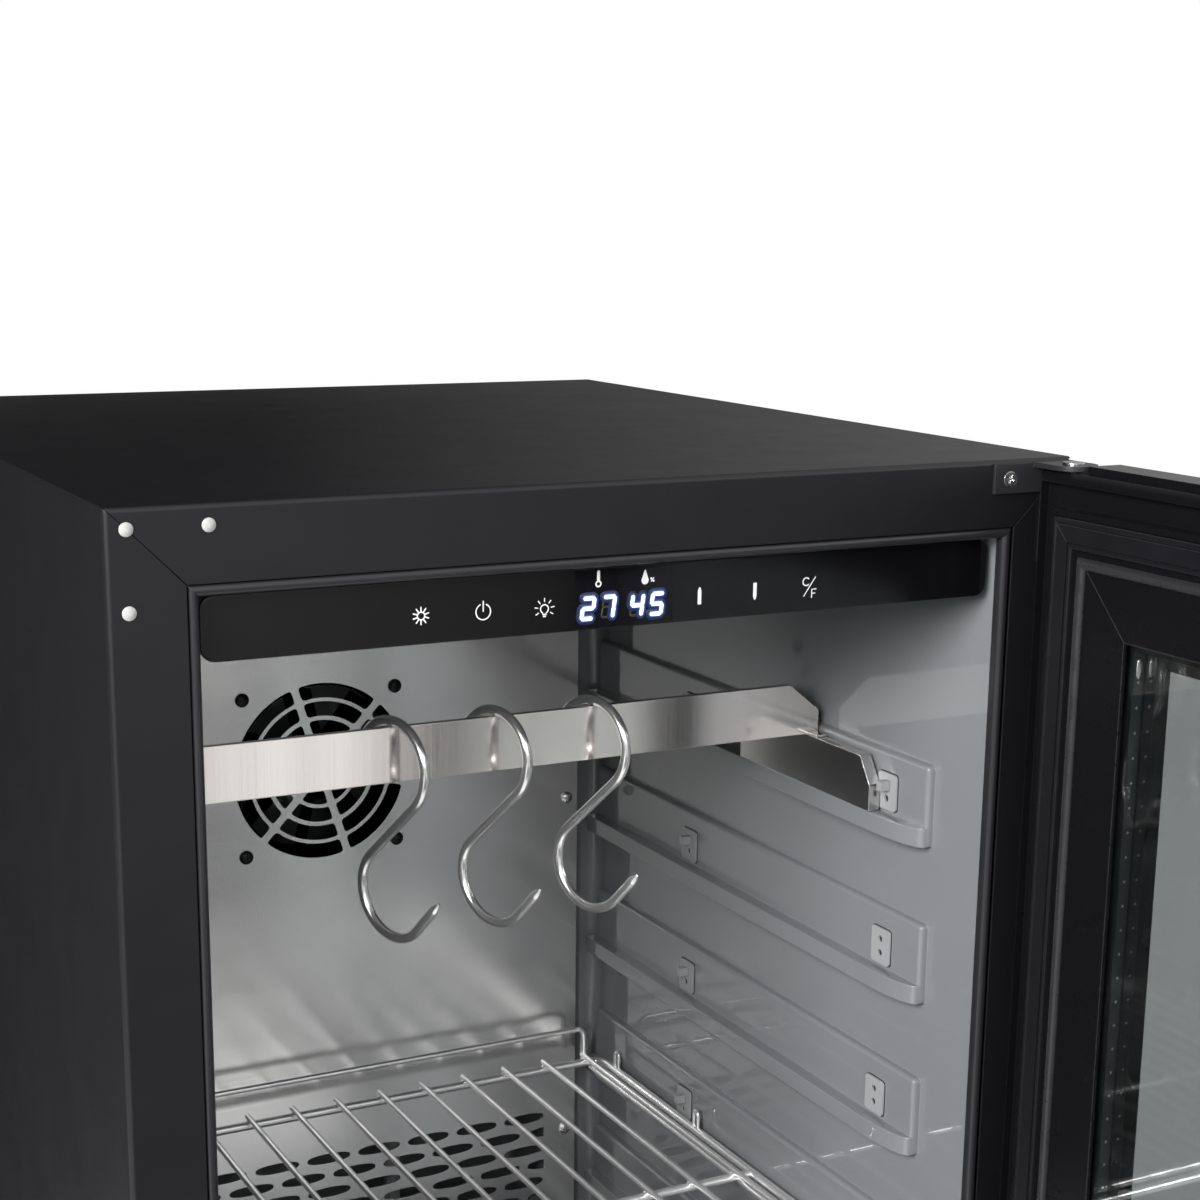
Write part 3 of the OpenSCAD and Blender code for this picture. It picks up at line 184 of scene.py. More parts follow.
def brushed(name, color, rough, along, depth=0.000004, aniso=0.5, smudge=0.06, wave=0.0, bands=0.0):
    """Metal brushed along x, y or z. wave is the depth of its unevenness; the last value is the strength of
    a painted reflection, colour in broad stripes along x.
    """
    stretch = {"x": (4, 3200, 3200), "y": (3200, 4, 3200), "z": (3200, 3200, 4)}[along]
    m = Mat(name, color, rough, 1.0, Anisotropic=aniso)
    turn = m.tree.nodes.new("ShaderNodeTangent")
    turn.direction_type = "RADIAL"
    turn.axis = along.upper()
    m.link(turn.outputs["Tangent"], "Tangent")
    lines = m.noise(1, 3, stretch, 0.6)
    m.bump(lines, depth, 0.5, 0.0004)
    if wave:
        m.wave(m.noise(5, 1, (1, 1, 3.2)), wave)
    m.link(m.ramp(lines, rough - smudge, rough + smudge), "Roughness")
    # Painted reflection: colour in broad stripes along x, standing in for the streaks that the bar reflects
    if bands:
        m.tint(m.noise(30, 3, (1, 0.02, 0.02)), bands)
    else:
        m.tint(m.noise(14, 4), 0.05)
    return m.mat


def plastic(name, color, rough, grain=1400, depth=0.00003, specular=0.5, spread=0.05, edge=0.0005, coat=0.0,
            mottle=0.05):
    """Moulded plastic. mottle varies its roughness, spread its colour."""
    m = Mat(name, color, rough, Specular_IOR_Level=specular, Coat_Weight=coat, Coat_Roughness=0.03)
    m.bump(m.noise(grain, 2), depth, 0.3, edge)
    m.rough_by(m.noise(24, 4), mottle)
    m.tint(m.noise(6, 3), spread)
    return m.mat


def plain_metal(name, color, rough):
    m = Mat(name, color, rough, 1.0)
    m.bump(m.noise(700, 3), 0.00001, 0.3, 0.0004)
    m.rough_by(m.noise(160, 4), 0.05)
    m.tint(m.noise(40, 3), 0.06)
    return m.mat


def plated_wire(name, color, rough, metal):
    """Bright plating on drawn wire, a little cloudy."""
    m = Mat(name, color, rough, metal)
    m.rough_by(m.noise(60, 3), 0.04)
    m.tint(m.noise(40, 3), 0.04)
    return m.mat


def rubber(name, color, rough, specular):
    m = Mat(name, color, rough, Specular_IOR_Level=specular, Sheen_Weight=0.03, Sheen_Roughness=0.5)
    m.bump(m.noise(2200, 2), 0.00003, 0.4, 0.0005)
    m.rough_by(m.noise(60, 3), 0.08)
    m.tint(m.noise(20, 3), 0.1)
    return m.mat


def foam(name, color, gap_shade_color):
    """Rigid foam, dark for its first 40 mm behind the front flange, painted shade in the gap there."""
    gap_shade_y = 40 * MM
    m = Mat(name, color, 0.9, Specular_IOR_Level=0.2)
    m.bump(m.noise(260, 3), 0.0006, 0.4)
    depth = m.node("SeparateXYZ", Vector=m.coords()).outputs["Y"]
    # Painted shade: the foam is dark in the gap behind the front flange and cream further in
    m.blend(m.ramp(depth, 0, 1, gap_shade_y, gap_shade_y + 1 * MM), gap_shade_color, color)
    return m.mat


def glass(name, color):
    m = Mat(name, color, 0.0, Transmission_Weight=1.0, IOR=1.5)
    m.rough_by(m.noise(18, 4), 0.012)
    return m.mat


def glow(name, color, strength, base=(0.02, 0.02, 0.02)):
    m = Mat(name, base, 0.3, Emission_Color=(*color, 1), Emission_Strength=strength)
    m.rough_by(m.noise(300, 2), 0.04)
    return m.mat


LOOKS = {}


def look(make, name, *values, **more):
    """Makes a material and keeps it under its name."""
    LOOKS[name] = make(name, *values, **more)


# Looks by material slot
look(powder_coat, "casing_black", (0.0052, 0.0050, 0.0064), 0.38, specular=0.45)
look(powder_coat, "rear_black", (0.026, 0.026, 0.028), 0.5)
look(powder_coat, "base_grey", (0.05, 0.052, 0.055), 0.45, specular=0.4)
look(plastic, "grille_black", (0.018, 0.018, 0.020), 0.5)
# Second colour: painted shade on the foam in the gap behind the front flange
look(foam, "foam_cream", (0.72, 0.62, 0.36), (0.016, 0.016, 0.018))
look(plastic, "liner_grey", (0.194, 0.201, 0.209), 0.3, grain=40, depth=0.000004, specular=0.12, spread=0.01,
     edge=0.0008, coat=1.0, mottle=0.01)
look(plastic, "trim_dark", (0.016, 0.0155, 0.018), 0.3, grain=900, mottle=0.02)
look(plastic, "inlet_black", (0.015, 0.015, 0.015), 0.45)
look(plastic, "foot_black", (0.018, 0.018, 0.019), 0.55)
look(plastic, "clip_grey", (0.30, 0.305, 0.31), 0.35, grain=1200)
look(plain_metal, "screw_steel", (0.55, 0.55, 0.54), 0.28)
look(plastic, "fan_black", (0.0012, 0.0012, 0.0014), 0.9, specular=0.0)
look(plain_metal, "screw_black", (0.03, 0.03, 0.032), 0.35)
look(plain_metal, "fin_aluminium", (0.60, 0.62, 0.63), 0.35)
look(plastic, "trough_grey", (0.58, 0.60, 0.61), 0.45)
look(plastic, "sensor_white", (0.72, 0.73, 0.73), 0.45)
look(plastic, "housing_black", (0.020, 0.020, 0.022), 0.45)
look(plastic, "fascia_gloss", (0.003, 0.003, 0.0036), 0.15, grain=300, depth=0.000002, specular=0.48,
     edge=0.0006, mottle=0.01)
look(plastic, "board_green", (0.014, 0.10, 0.042), 0.4)
look(glow, "lamp_white", (0.93, 0.96, 1.0), 0.02, (0.6, 0.61, 0.62))
look(powder_coat, "compressor_black", (0.012, 0.012, 0.013), 0.3, specular=0.5)
look(rubber, "mount_rubber", (0.012, 0.012, 0.012), 0.7, 0.4)
look(powder_coat, "condenser_black", (0.028, 0.029, 0.032), 0.5)
look(plain_metal, "copper", (0.72, 0.36, 0.20), 0.3)
look(plastic, "tray_grey", (0.045, 0.047, 0.050), 0.5)
look(plated_wire, "chrome_wire", (0.93, 0.93, 0.925), 0.22, 0.78)
look(powder_coat, "hinge_black", (0.018, 0.018, 0.020), 0.34, specular=0.5)
look(plastic, "plug_white", (0.42, 0.42, 0.41), 0.3, grain=420, depth=0.0003)
look(powder_coat, "frame_black", (0.005, 0.005, 0.006), 0.28, specular=0.1, top=0.6)
look(glass, "pane_clear", (0.90, 0.925, 0.92))
look(glass, "pane_tinted", (0.40, 0.41, 0.415))
look(plain_metal, "spacer_grey", (0.06, 0.068, 0.072), 0.4)
look(rubber, "bead_grey", (0.020, 0.020, 0.022), 0.3, 0.5)
look(rubber, "gasket_black", (0.006, 0.006, 0.0075), 0.42, 0.16)
look(plastic, "bush_ivory", (0.68, 0.65, 0.57), 0.45)
look(brushed, "handle_steel", (0.52, 0.51, 0.50), 0.26, "z")

# Looks by node, for the three sheets in the stainless slot
look(brushed, "cover_steel", (0.76, 0.757, 0.75), 0.22, "x", depth=0.000002, aniso=0.35, smudge=0.045,
     wave=0.0009)
# The bar's stripes of colour along x are a painted reflection of streaks
look(brushed, "bar_steel", (0.92, 0.88, 0.85), 0.14, "z", depth=0.000002, smudge=0.04, bands=0.08)
look(brushed, "bracket_steel", (0.60, 0.595, 0.59), 0.2, "y", depth=0.000001, smudge=0.02)
LOOK_OF_NODE = {"evaporator_cover": "cover_steel", "rail_brackets": "bracket_steel",
                "hanging_bar": "bar_steel"}

# Looks of pieces that only the scene has
HOOK_STEEL = plated_wire("hook_steel", (0.88, 0.875, 0.865), 0.23, 0.9)
CLIP_SHADOW = plastic("clip_shadow", (0.012, 0.012, 0.013), 0.6)
FRIT_BLACK = plastic("frit_black", (0.010, 0.012, 0.013), 0.25, grain=1800, depth=0.00001)
DOT_GREY = plain_metal("dot_grey", (0.42, 0.44, 0.45), 0.35)
KEY_STEEL = plain_metal("key_steel", (0.80, 0.80, 0.79), 0.22)
ICON_WHITE = glow("icon_white", (0.92, 0.93, 0.95), 0.24, (0.62, 0.62, 0.62))
DIGIT_LIT = glow("digit_lit", (0.78, 0.88, 1.0), 3.0)
DIGIT_HALO = [glow("digit_halo_%d" % i, (0.08 + 0.3 * level, 0.18 + 0.45 * level, 1.0), level,
                   (0.004, 0.005, 0.014))
              for i, level in enumerate((0.05, 0.09, 0.16, 0.28, 0.48, 0.8))]
DIGIT_OFF = plastic("digit_off", (0.030, 0.031, 0.024), 0.3)
WINDOW_DARK = plastic("window_dark", (0.006, 0.006, 0.008), 0.06, grain=300, depth=0.000002, specular=0.28)


def look_of(node):
    return LOOKS[LOOK_OF_NODE.get(node, SLOT[node])]


for name, obj in NODES.items():
    obj.data.materials.clear()
    obj.data.materials.append(look_of(name))


# Ways to make pieces

FLAT_ANGLE, SHARP_ANGLE = math.radians(0.4), math.radians(30)


def shade(mesh, limit):
    """Smooth shading across edges with a cosine over limit, with large faces kept flat."""
    around = [[] for _ in mesh.vertices]
    for p in mesh.polygons:
        p.use_smooth = True
        for v in p.vertices:
            around[v].append((p.normal.copy(), p.area))
    normals = []
    for p in mesh.polygons:
        for v in p.vertices:
            total = sum((n * area for n, area in around[v] if n.dot(p.normal) > limit), p.normal * 1e-12)
            normals.append(total.normalized())
    mesh.normals_split_custom_set(normals)


def new_piece(name, bm, material, body, smooth):
    """Object on a body. Edges that turn by less than smooth degrees are shaded round."""
    mesh = bpy.data.meshes.new(name)
    bm.to_mesh(mesh)
    bm.free()
    mesh.materials.append(material)
    shade(mesh, math.cos(math.radians(smooth)))
    obj = bpy.data.objects.new(name, mesh)
    bpy.context.scene.collection.objects.link(obj)
    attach(obj, body)
    return obj


def add_part(bm, part):
    """Moves all of part into bm."""
    mesh = bpy.data.meshes.new("part")
    part.to_mesh(mesh)
    part.free()
    bm.from_mesh(mesh)
    bpy.data.meshes.remove(mesh)


def round_edges(bm, edges, radius, segments):
    bmesh.ops.bevel(bm, geom=edges, offset=radius, offset_type="OFFSET", segments=segments, profile=0.5,
                    affect="EDGES", clamp_overlap=True)


def bent_edges(bm, angle):
    return [e for e in bm.edges if len(e.link_faces) == 2 and e.calc_face_angle(0) > angle]


def softened(node, width):
    """A copy of a CAD node with its sharp edges rounded, shown in its place."""
    bm = bmesh.new()
    bm.from_mesh(NODES[node].data)
    bmesh.ops.remove_doubles(bm, verts=bm.verts, dist=MERGE)
    bmesh.ops.dissolve_limit(bm, angle_limit=FLAT_ANGLE, verts=bm.verts, edges=bm.edges)
    round_edges(bm, bent_edges(bm, SHARP_ANGLE), width, segments=2)
    obj = new_piece(node + "_finish", bm, look_of(node), BODY[node], smooth=40)
    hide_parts(node)


def sweep(bm, points, radius, sides, closed=False):
    """Round tube along points. radius is a number, or one for each point."""
    count = len(points)
    radii = radius if isinstance(radius, (list, tuple)) else [radius] * count
    points = [Vector(p) for p in points]
    tangents = []
    for i in range(count):
        a = points[i - 1] if closed or i else points[0]
        b = points[(i + 1) % count] if closed or i < count - 1 else points[-1]
        tangents.append((b - a).normalized())
    normal = tangents[0].orthogonal().normalized()
    rings = []
    for i in range(count):
        if i:
            turn = tangents[i - 1].rotation_difference(tangents[i])
            normal = turn @ normal
        normal = (normal - tangents[i] * normal.dot(tangents[i])).normalized()
        side = tangents[i].cross(normal)
        rings.append([bm.verts.new(points[i] + radii[i] * (math.cos(t) * normal + math.sin(t) * side))
                      for t in [2 * math.pi * k / sides for k in range(sides)]])
    pairs = list(zip(rings, rings[1:]))
    if closed:
        last = rings[-1]
        shift = min(range(sides), key=lambda s: (last[0].co - rings[0][s].co).length)
        pairs.append((last, rings[0][shift:] + rings[0][:shift]))
    for lower, upper in pairs:
        for k in range(sides):
            n = (k + 1) % sides
            bm.faces.new((lower[k], lower[n], upper[n], upper[k]))
    if not closed:
        bm.faces.new(list(reversed(rings[0])))
        bm.faces.new(rings[-1])


def rod(bm, a, b, r):
    """Straight wire with hollow ends. depth and least are the hollow's depth and radius as shares of r."""
    steps, depth, least = 3, 0.6, 0.35
    a, b = Vector(a), Vector(b)
    d = (b - a).normalized()
    rise = [math.sin(math.pi / 2 * i / steps) for i in range(steps + 1)]
    head = [a + d * r * depth * (1 - t) for t in rise]
    tail = [b - d * r * depth * (1 - t) for t in reversed(rise)]
    radii = [r * (least + (1 - least) * t) for t in rise]
    sweep(bm, head + tail, radii + radii[::-1], sides=14)


def arc(center, radius, start, end, ex, ey, steps):
    """Points of an arc from start to end, in degrees from ex to ey."""
    center, ex, ey = Vector(center), Vector(ex), Vector(ey)
    return [center + radius * (math.cos(t) * ex + math.sin(t) * ey)
            for t in [math.radians(start + (end - start) * i / steps) for i in range(steps + 1)]]


def prism(bm, outline, along, start, end):
    """Closed prism of an outline in the plane across one axis."""
    def at(p, t):
        u, v = p
        return {"x": (t, u, v), "y": (u, t, v), "z": (u, v, t)}[along]
    low = [bm.verts.new(at(p, start)) for p in outline]
    high = [bm.verts.new(at(p, end)) for p in outline]
    faces = [bm.faces.new(low), bm.faces.new(high)]
    for i in range(len(outline)):
        j = (i + 1) % len(outline)
        faces.append(bm.faces.new((low[i], low[j], high[j], high[i])))
    bmesh.ops.recalc_face_normals(bm, faces=faces)


def rounded_prism(bm, outline, along, start, end, radius):
    part = bmesh.new()
    prism(part, outline, along, start, end)
    round_edges(part, part.edges[:], radius, segments=4)
    add_part(bm, part)


def weld(bm, place, size):
    """Small swelling with the half lengths of size."""
    made = bmesh.ops.create_icosphere(bm, subdivisions=2, radius=1)
    for v in made["verts"]:
        v.co = Vector(place) + Vector(v.co[k] * size[k] for k in range(3))


def eased(corners, cut):
    """Outline with its corners rounded. corners holds two coordinates and sharp, in order."""
    out = []
    for i, (x, z, sharp) in enumerate(corners):
        if not sharp:
            out.append((x, z))
            continue
        here = Vector((x, z))
        before, after = [(Vector(corners[(i + k) % len(corners)][:2]) - here) for k in (-1, 1)]
        a, b = [here + d.normalized() * min(cut, d.length * 0.49) for d in (before, after)]
        for t in (0, 0.25, 0.5, 0.75, 1):
            out.append(tuple(a * (1 - t) ** 2 + here * 2 * t * (1 - t) + b * t ** 2))
    return out


# Hooks: bent round wire with a ground point

HOOK_R, HOOK_WIRE, HOOK_TURN = 25 * MM, 5.5 * MM, math.radians(70)
HOOK_TOP, HOOK_LOW, HOOK_TIP = 674.05 * MM, 605.55 * MM, 23.5 * MM
HOOK_BACK, HOOK_END = 205, 320
# At the blunt end a length and a share of the radius, at the ground point shares of its length and radius
HOOK_CUT, HOOK_EASE = (0.2 * MM, 0.62), (0.9 * MM, 0.93)
HOOK_POINT = ((0.5, 1.0), (0.74, 1.0), (0.79, 0.93), (0.9, 0.62), (0.97, 0.38), (1.0, 0.2))
HOOK_XS = {"left_hook": -60.75 * MM, "middle_hook": -2.0 * MM, "right_hook": 56.75 * MM}
BAR_Y = 157 * MM


def make_hook(node, x):
    ex = Vector((math.cos(HOOK_TURN), -math.sin(HOOK_TURN), 0))
    lean = math.degrees(math.asin(2 * HOOK_R / (HOOK_TOP - HOOK_LOW)))
    top, low = Vector((x, BAR_Y, HOOK_TOP)), Vector((x, BAR_Y, HOOK_LOW))
    path = arc(top, HOOK_R, HOOK_BACK, -lean, ex, AZ, steps=48)
    path += arc(low, HOOK_R, 180 - lean, HOOK_END, ex, AZ, steps=40)
    radii = [HOOK_WIRE / 2] * len(path)
    first = (path[1] - path[0]).normalized()
    path[0] = path[0] + first * HOOK_CUT[0]
    radii[0] *= HOOK_CUT[1]
    path.insert(1, path[0] + first * HOOK_EASE[0])
    radii.insert(1, HOOK_WIRE / 2 * HOOK_EASE[1])
    out = (path[-1] - path[-2]).normalized()
    tip = path[-1]
    for share, thick in HOOK_POINT:
        path.append(tip + out * HOOK_TIP * share)
        radii.append(HOOK_WIRE / 2 * thick)
    bm = bmesh.new()
    sweep(bm, path, radii, sides=24)
    obj = new_piece(node + "_wire", bm, HOOK_STEEL, BODY[node], smooth=50)
    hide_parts(node)


for node, x in HOOK_XS.items():
    make_hook(node, x)


# Chamber liner: one moulded sheet with rounded corners, ledges and pads

WALL_X, FLOOR_Z, CEILING_Z = 210 * MM, 132.5 * MM, 802.5 * MM
STEP_Y, STEP_Z, CHAMBER_D = 305 * MM, 225 * MM, 444 * MM
LINER_Y0, LINER_T = 6.2 * MM, 2 * MM
POCKET_X, POCKET_Z0, POCKET_Z1, POCKET_D = 168 * MM, 258 * MM, 792.5 * MM, 53 * MM
LEDGE_Z1, LEDGE_PITCH, LEDGE_COUNT, LEDGE_T = 635.5 * MM, 90 * MM, 6, 11 * MM
LEDGE_X, PAD_X, PAD_H, LEDGE_Y0 = 196.5 * MM, 205 * MM, 34.5 * MM, 50 * MM
LEDGE_SINK, STEP_GAP, NOSE_L, NOSE_SET, NOSE_STEPS = 3 * MM, 6 * MM, 38 * MM, 0.3 * MM, 10
COVER_Y = 435 * MM
CORNER_R, LEDGE_R = 9 * MM, 2.6 * MM


def liner_shell(bm):
    """Inside faces of the chamber and its rear pocket, thickened outward."""
    side = [(LINER_Y0, FLOOR_Z), (STEP_Y, FLOOR_Z), (STEP_Y, STEP_Z), (CHAMBER_D, STEP_Z),
            (CHAMBER_D, CEILING_Z), (LINER_Y0, CEILING_Z)]
    left = [bm.verts.new((-WALL_X, y, z)) for y, z in side]
    right = [bm.verts.new((WALL_X, y, z)) for y, z in side]
    mouth = [(-POCKET_X, POCKET_Z0), (POCKET_X, POCKET_Z0), (POCKET_X, POCKET_Z1), (-POCKET_X, POCKET_Z1)]
    near = [bm.verts.new((x, CHAMBER_D, z)) for x, z in mouth]
    far = [bm.verts.new((x, CHAMBER_D + POCKET_D, z)) for x, z in mouth]
    bm.faces.new(left)
    bm.faces.new(list(reversed(right)))
    for i in (0, 1, 2, 4):  # all but the open front and the rear wall
        bm.faces.new((left[i + 1], left[i], right[i], right[i + 1]))
    rim = [left[3], right[3], right[4], left[4]]
    for i in range(4):
        j = (i + 1) % 4
        bm.faces.new((rim[i], rim[j], near[j], near[i]))
        bm.faces.new((near[i], near[j], far[j], far[i]))
    bm.faces.new(far)
    bmesh.ops.recalc_face_normals(bm, faces=bm.faces[:])
    inner = [e for e in bent_edges(bm, 0.1) if not (set(e.verts) & set(near))]
    round_edges(bm, inner, CORNER_R, segments=5)
    skin = bm.faces[:]
    center = Vector((0, CHAMBER_D / 2, (FLOOR_Z + CEILING_Z) / 2))
    if sum((center - f.calc_center_median()).dot(f.normal) * f.calc_area() for f in skin) < 0:
        bmesh.ops.reverse_faces(bm, faces=skin)
    bmesh.ops.solidify(bm, geom=skin, thickness=LINER_T)


def ledges():
    """Height and rear end of each ledge, from the top."""
    for level in range(LEDGE_COUNT):
        z = LEDGE_Z1 - level * LEDGE_PITCH
        yield z, COVER_Y if z - LEDGE_T > STEP_Z else STEP_Y - STEP_GAP


def liner_ledge(bm, side, z, end):
    """Pad on the wall with a ledge that narrows to a round nose at the front."""
    root = side * (WALL_X + LEDGE_SINK)
    pad = [(LEDGE_Y0, z - LEDGE_T), (end, z - LEDGE_T), (end, z + PAD_H), (LEDGE_Y0, z + PAD_H)]
    rounded_prism(bm, pad, "x", side * PAD_X, root, LEDGE_R)
    nose = [(root, LEDGE_Y0 + NOSE_SET), (root, end), (side * LEDGE_X, end)]
    for i in range(NOSE_STEPS + 1):
        t = math.radians(90 / NOSE_STEPS * i)
        nose.append((side * (PAD_X - (PAD_X - LEDGE_X) * math.cos(t)),
                     LEDGE_Y0 + NOSE_L - (NOSE_L - NOSE_SET) * math.sin(t)))
    rounded_prism(bm, nose, "z", z - LEDGE_T, z, LEDGE_R)


bm = bmesh.new()
liner_shell(bm)
for z, end in ledges():
    for side in (-1, 1):
        liner_ledge(bm, side, z, end)
liner = new_piece("moulded_liner", bm, LOOKS["liner_grey"], "cabinet", smooth=40)
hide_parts("inner_liner")


# Wire shelf: chromed wires with welds where the rungs, rods and frame cross

SHELF_X, SHELF_Y0, SHELF_Y1, SHELF_Z, SHELF_CORNER = 199 * MM, 78 * MM, 414 * MM, 369 * MM, 12 * MM
FRAME_R, RUNG_R, ROD_R, LOOP_R = 3 * MM, 2 * MM, 2.6 * MM, 1.2 * MM
RUNG_Z, RUNG_PITCH, RUNG_SIDE, RUNG_FRONT, RUNG_REAR = 373.4 * MM, 31 * MM, 6, 4 * MM, 4.5 * MM
ROD_YS = (92 * MM, 206.5 * MM)
UNDER_X, UNDER_Z = 191 * MM, 364.8 * MM
STAND_X, STAND_Y, STAND_Z, STAND_BEND, STAND_SINK = 187 * MM, 418.4 * MM, 393 * MM, 6 * MM, 1 * MM
LOOP_YS, LOOP_HALF, LOOP_RISE, LOOP_ROOT = (390 * MM, 278 * MM), 2.6 * MM, 11 * MM, 1 * MM
RUNG_WELD, RUNG_WELD_DROP = (2.9 * MM, 3.1 * MM, 1.5 * MM), 1.9 * MM
ROD_WELD, ROD_WELD_IN = (3.4 * MM, 3.0 * MM, 2.7 * MM), 1 * MM
STAND_WELD, STAND_WELD_IN = (2.6 * MM, 1.8 * MM, 3 * MM), 1.6 * MM
LOOP_WELD, LOOP_WELD_RISE = (1.9 * MM, 4.6 * MM, 1.3 * MM), 2.4 * MM

bm = bmesh.new()
frame_path = []
for (sx, sy), start in zip(((1, 1), (-1, 1), (-1, -1), (1, -1)), (0, 90, 180, 270)):
    corner_x = sx * (SHELF_X - SHELF_CORNER)
    corner_y = SHELF_Y1 - SHELF_CORNER if sy > 0 else SHELF_Y0 + SHELF_CORNER
    frame_path += arc((corner_x, corner_y, SHELF_Z), SHELF_CORNER, start, start + 90, AX, AY, steps=8)
sweep(bm, frame_path, FRAME_R, sides=16, closed=True)
for i in range(-RUNG_SIDE, RUNG_SIDE + 1):
    x = i * RUNG_PITCH
    rod(bm, (x, SHELF_Y0 - RUNG_FRONT, RUNG_Z), (x, SHELF_Y1 + RUNG_REAR, RUNG_Z), RUNG_R)
    for y in (SHELF_Y0, SHELF_Y1, *ROD_YS):
        weld(bm, (x, y, RUNG_Z - RUNG_WELD_DROP), RUNG_WELD)
for y in ROD_YS:
    rod(bm, (-SHELF_X, y, SHELF_Z), (SHELF_X, y, SHELF_Z), ROD_R)
for side in (-1, 1):
    x = side * UNDER_X
    rod(bm, (x, SHELF_Y0, UNDER_Z), (x, SHELF_Y1, UNDER_Z), RUNG_R)
    for y in ROD_YS:
        weld(bm, (side * (SHELF_X - ROD_WELD_IN), y, SHELF_Z), ROD_WELD)
shelf = new_piece("shelf_wires", bm, LOOKS["chrome_wire"], "shelf", smooth=50)
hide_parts("wire_shelf")

bm = bmesh.new()
stand = [(-STAND_X, STAND_Y, SHELF_Z - STAND_SINK)]
stand += arc((-STAND_X + STAND_BEND, STAND_Y, STAND_Z - STAND_BEND), STAND_BEND, 180, 90, AX, AZ, steps=8)
stand += arc((STAND_X - STAND_BEND, STAND_Y, STAND_Z - STAND_BEND), STAND_BEND, 90, 0, AX, AZ, steps=8)
stand += [(STAND_X, STAND_Y, SHELF_Z - STAND_SINK)]
sweep(bm, stand, RUNG_R, sides=14)
for side in (-1, 1):
    weld(bm, (side * STAND_X, STAND_Y - STAND_WELD_IN, SHELF_Z), STAND_WELD)
    x = side * SHELF_X
    for y in LOOP_YS:
        loop = [(x, y - LOOP_HALF, SHELF_Z + LOOP_ROOT)]
        loop += arc((x, y, SHELF_Z + LOOP_RISE), LOOP_HALF, 180, 0, AY, AZ, steps=12)
        loop += [(x, y + LOOP_HALF, SHELF_Z + LOOP_ROOT)]
        sweep(bm, loop, LOOP_R, sides=12)
        weld(bm, (x, y, SHELF_Z + LOOP_WELD_RISE), LOOP_WELD)
upstand = new_piece("upstand_wires", bm, LOOKS["chrome_wire"], "shelf", smooth=50)
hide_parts("shelf_upstand")


# Signs and digits on the control glass, in millimetres along x and z

FASCIA_Y = 10 * MM
SIGN_RISE, SIGN_FLAT, SIGN_HALF_T = 0.08 * MM, 0.12, 0.05 * MM
STROKE_END = ((1.0, 0.4), (0.6, 0.85))  # reach past the end and radius there, in shares of the half width


def stroke(bm, path, width, closed=False, rise=SIGN_RISE):
    """Flat rounded line in front of the fascia."""
    part = bmesh.new()
    points = [Vector((x * MM, FASCIA_Y, z * MM)) for x, z in path]
    radii = [1.0] * len(points)
    if not closed:
        first = (points[1] - points[0]).normalized() * width / 2 * MM
        last = (points[-1] - points[-2]).normalized() * width / 2 * MM
        head = [points[0] - first * reach for reach, _ in STROKE_END]
        tail = [points[-1] + last * reach for reach, _ in reversed(STROKE_END)]
        thin = [share for _, share in STROKE_END]
        points = head + points + tail
        radii = thin + radii + thin[::-1]
    sweep(part, points, [r * width / 2 * MM for r in radii], sides=10, closed=closed)
    for v in part.verts:
        v.co.y = FASCIA_Y - rise + (v.co.y - FASCIA_Y) * SIGN_FLAT
    add_part(bm, part)


def ring(x, z, r, start=0, end=360):
    """Points of an arc, or of a closed circle without its last point."""
    steps = 28
    span = steps if abs(end - start) < 360 else steps - 1
    return [(x + r * math.cos(t), z + r * math.sin(t))
            for t in [math.radians(start + (end - start) * i / steps) for i in range(span + 1)]]


def filled(bm, outline, rise=SIGN_RISE):
    prism(bm, [(x * MM, z * MM) for x, z in outline], "y",
          FASCIA_Y - rise - SIGN_HALF_T, FASCIA_Y - rise + SIGN_HALF_T)


def rays(bm, x, z, start, pitch, count, r0, r1, width):
    """Short lines around a point, from r0 out to r1."""
    for i in range(count):
        t = math.radians(start + pitch * i)
        stroke(bm, [(x + r * math.cos(t), z + r * math.sin(t)) for r in (r0, r1)], width)


def petal_sign(bm, x, z):
    stroke(bm, ring(x, z, 1.75), 0.65, True)
    rays(bm, x, z, 18, 36, 10, 2.1, 3.8, 0.66)


def power_sign(bm, x, z):
    stroke(bm, ring(x, z, 3.6, 115, 425), 0.62)
    stroke(bm, [(x, z + 0.3), (x, z + 4.8)], 0.62)


def lamp_sign(bm, x, z):
    stroke(bm, ring(x, z, 2.0, -60, 240), 0.6)
    for dz, half in ((-2.5, 0.8), (-3.4, 0.5)):
        stroke(bm, [(x - half, z + dz), (x + half, z + dz)], 0.7)
    rays(bm, x, z, -30, 40, 7, 3.5, 4.9, 0.55)


def thermometer_sign(bm, x, z):
    stroke(bm, ring(x, z - 2.3, 1.25), 0.8, True)
    stroke(bm, [(x, z - 0.7), (x, z + 3.2)], 1.6)


def droplet_sign(bm, x, z):
    filled(bm, ring(x, z - 1.5, 1.9, 150, 390) + [(x + 0.25, z + 3.4), (x - 0.25, z + 3.4)])
    stroke(bm, [(x + 3.2, z - 2.2), (x + 4.6, z - 0.6)], 0.5)
    for dx, dz in ((3.3, -0.8), (4.5, -2.0)):
        stroke(bm, ring(x + dx, z + dz, 0.3), 0.5, True)


def step_sign(bm, x, z, up):
    half = 0.95
    filled(bm, [(x - half, z - up * 4.0), (x + half, z - up * 4.0), (x + half, z + up * 2.6),
                (x + 0.3, z + up * 4.2), (x - 0.3, z + up * 4.2), (x - half, z + up * 2.6)])


def unit_sign(bm, x, z):
    stroke(bm, ring(x - 2.0, z + 2.9, 1.9, 45, 315), 0.62)
    stroke(bm, [(x - 3.3, z - 4.2), (x + 3.2, z + 4.9)], 0.5)
    stroke(bm, [(x + 1.3, z - 5.0), (x + 1.3, z - 1.0), (x + 3.7, z - 1.0)], 0.62)
    stroke(bm, [(x + 1.3, z - 3.0), (x + 3.1, z - 3.0)], 0.55)


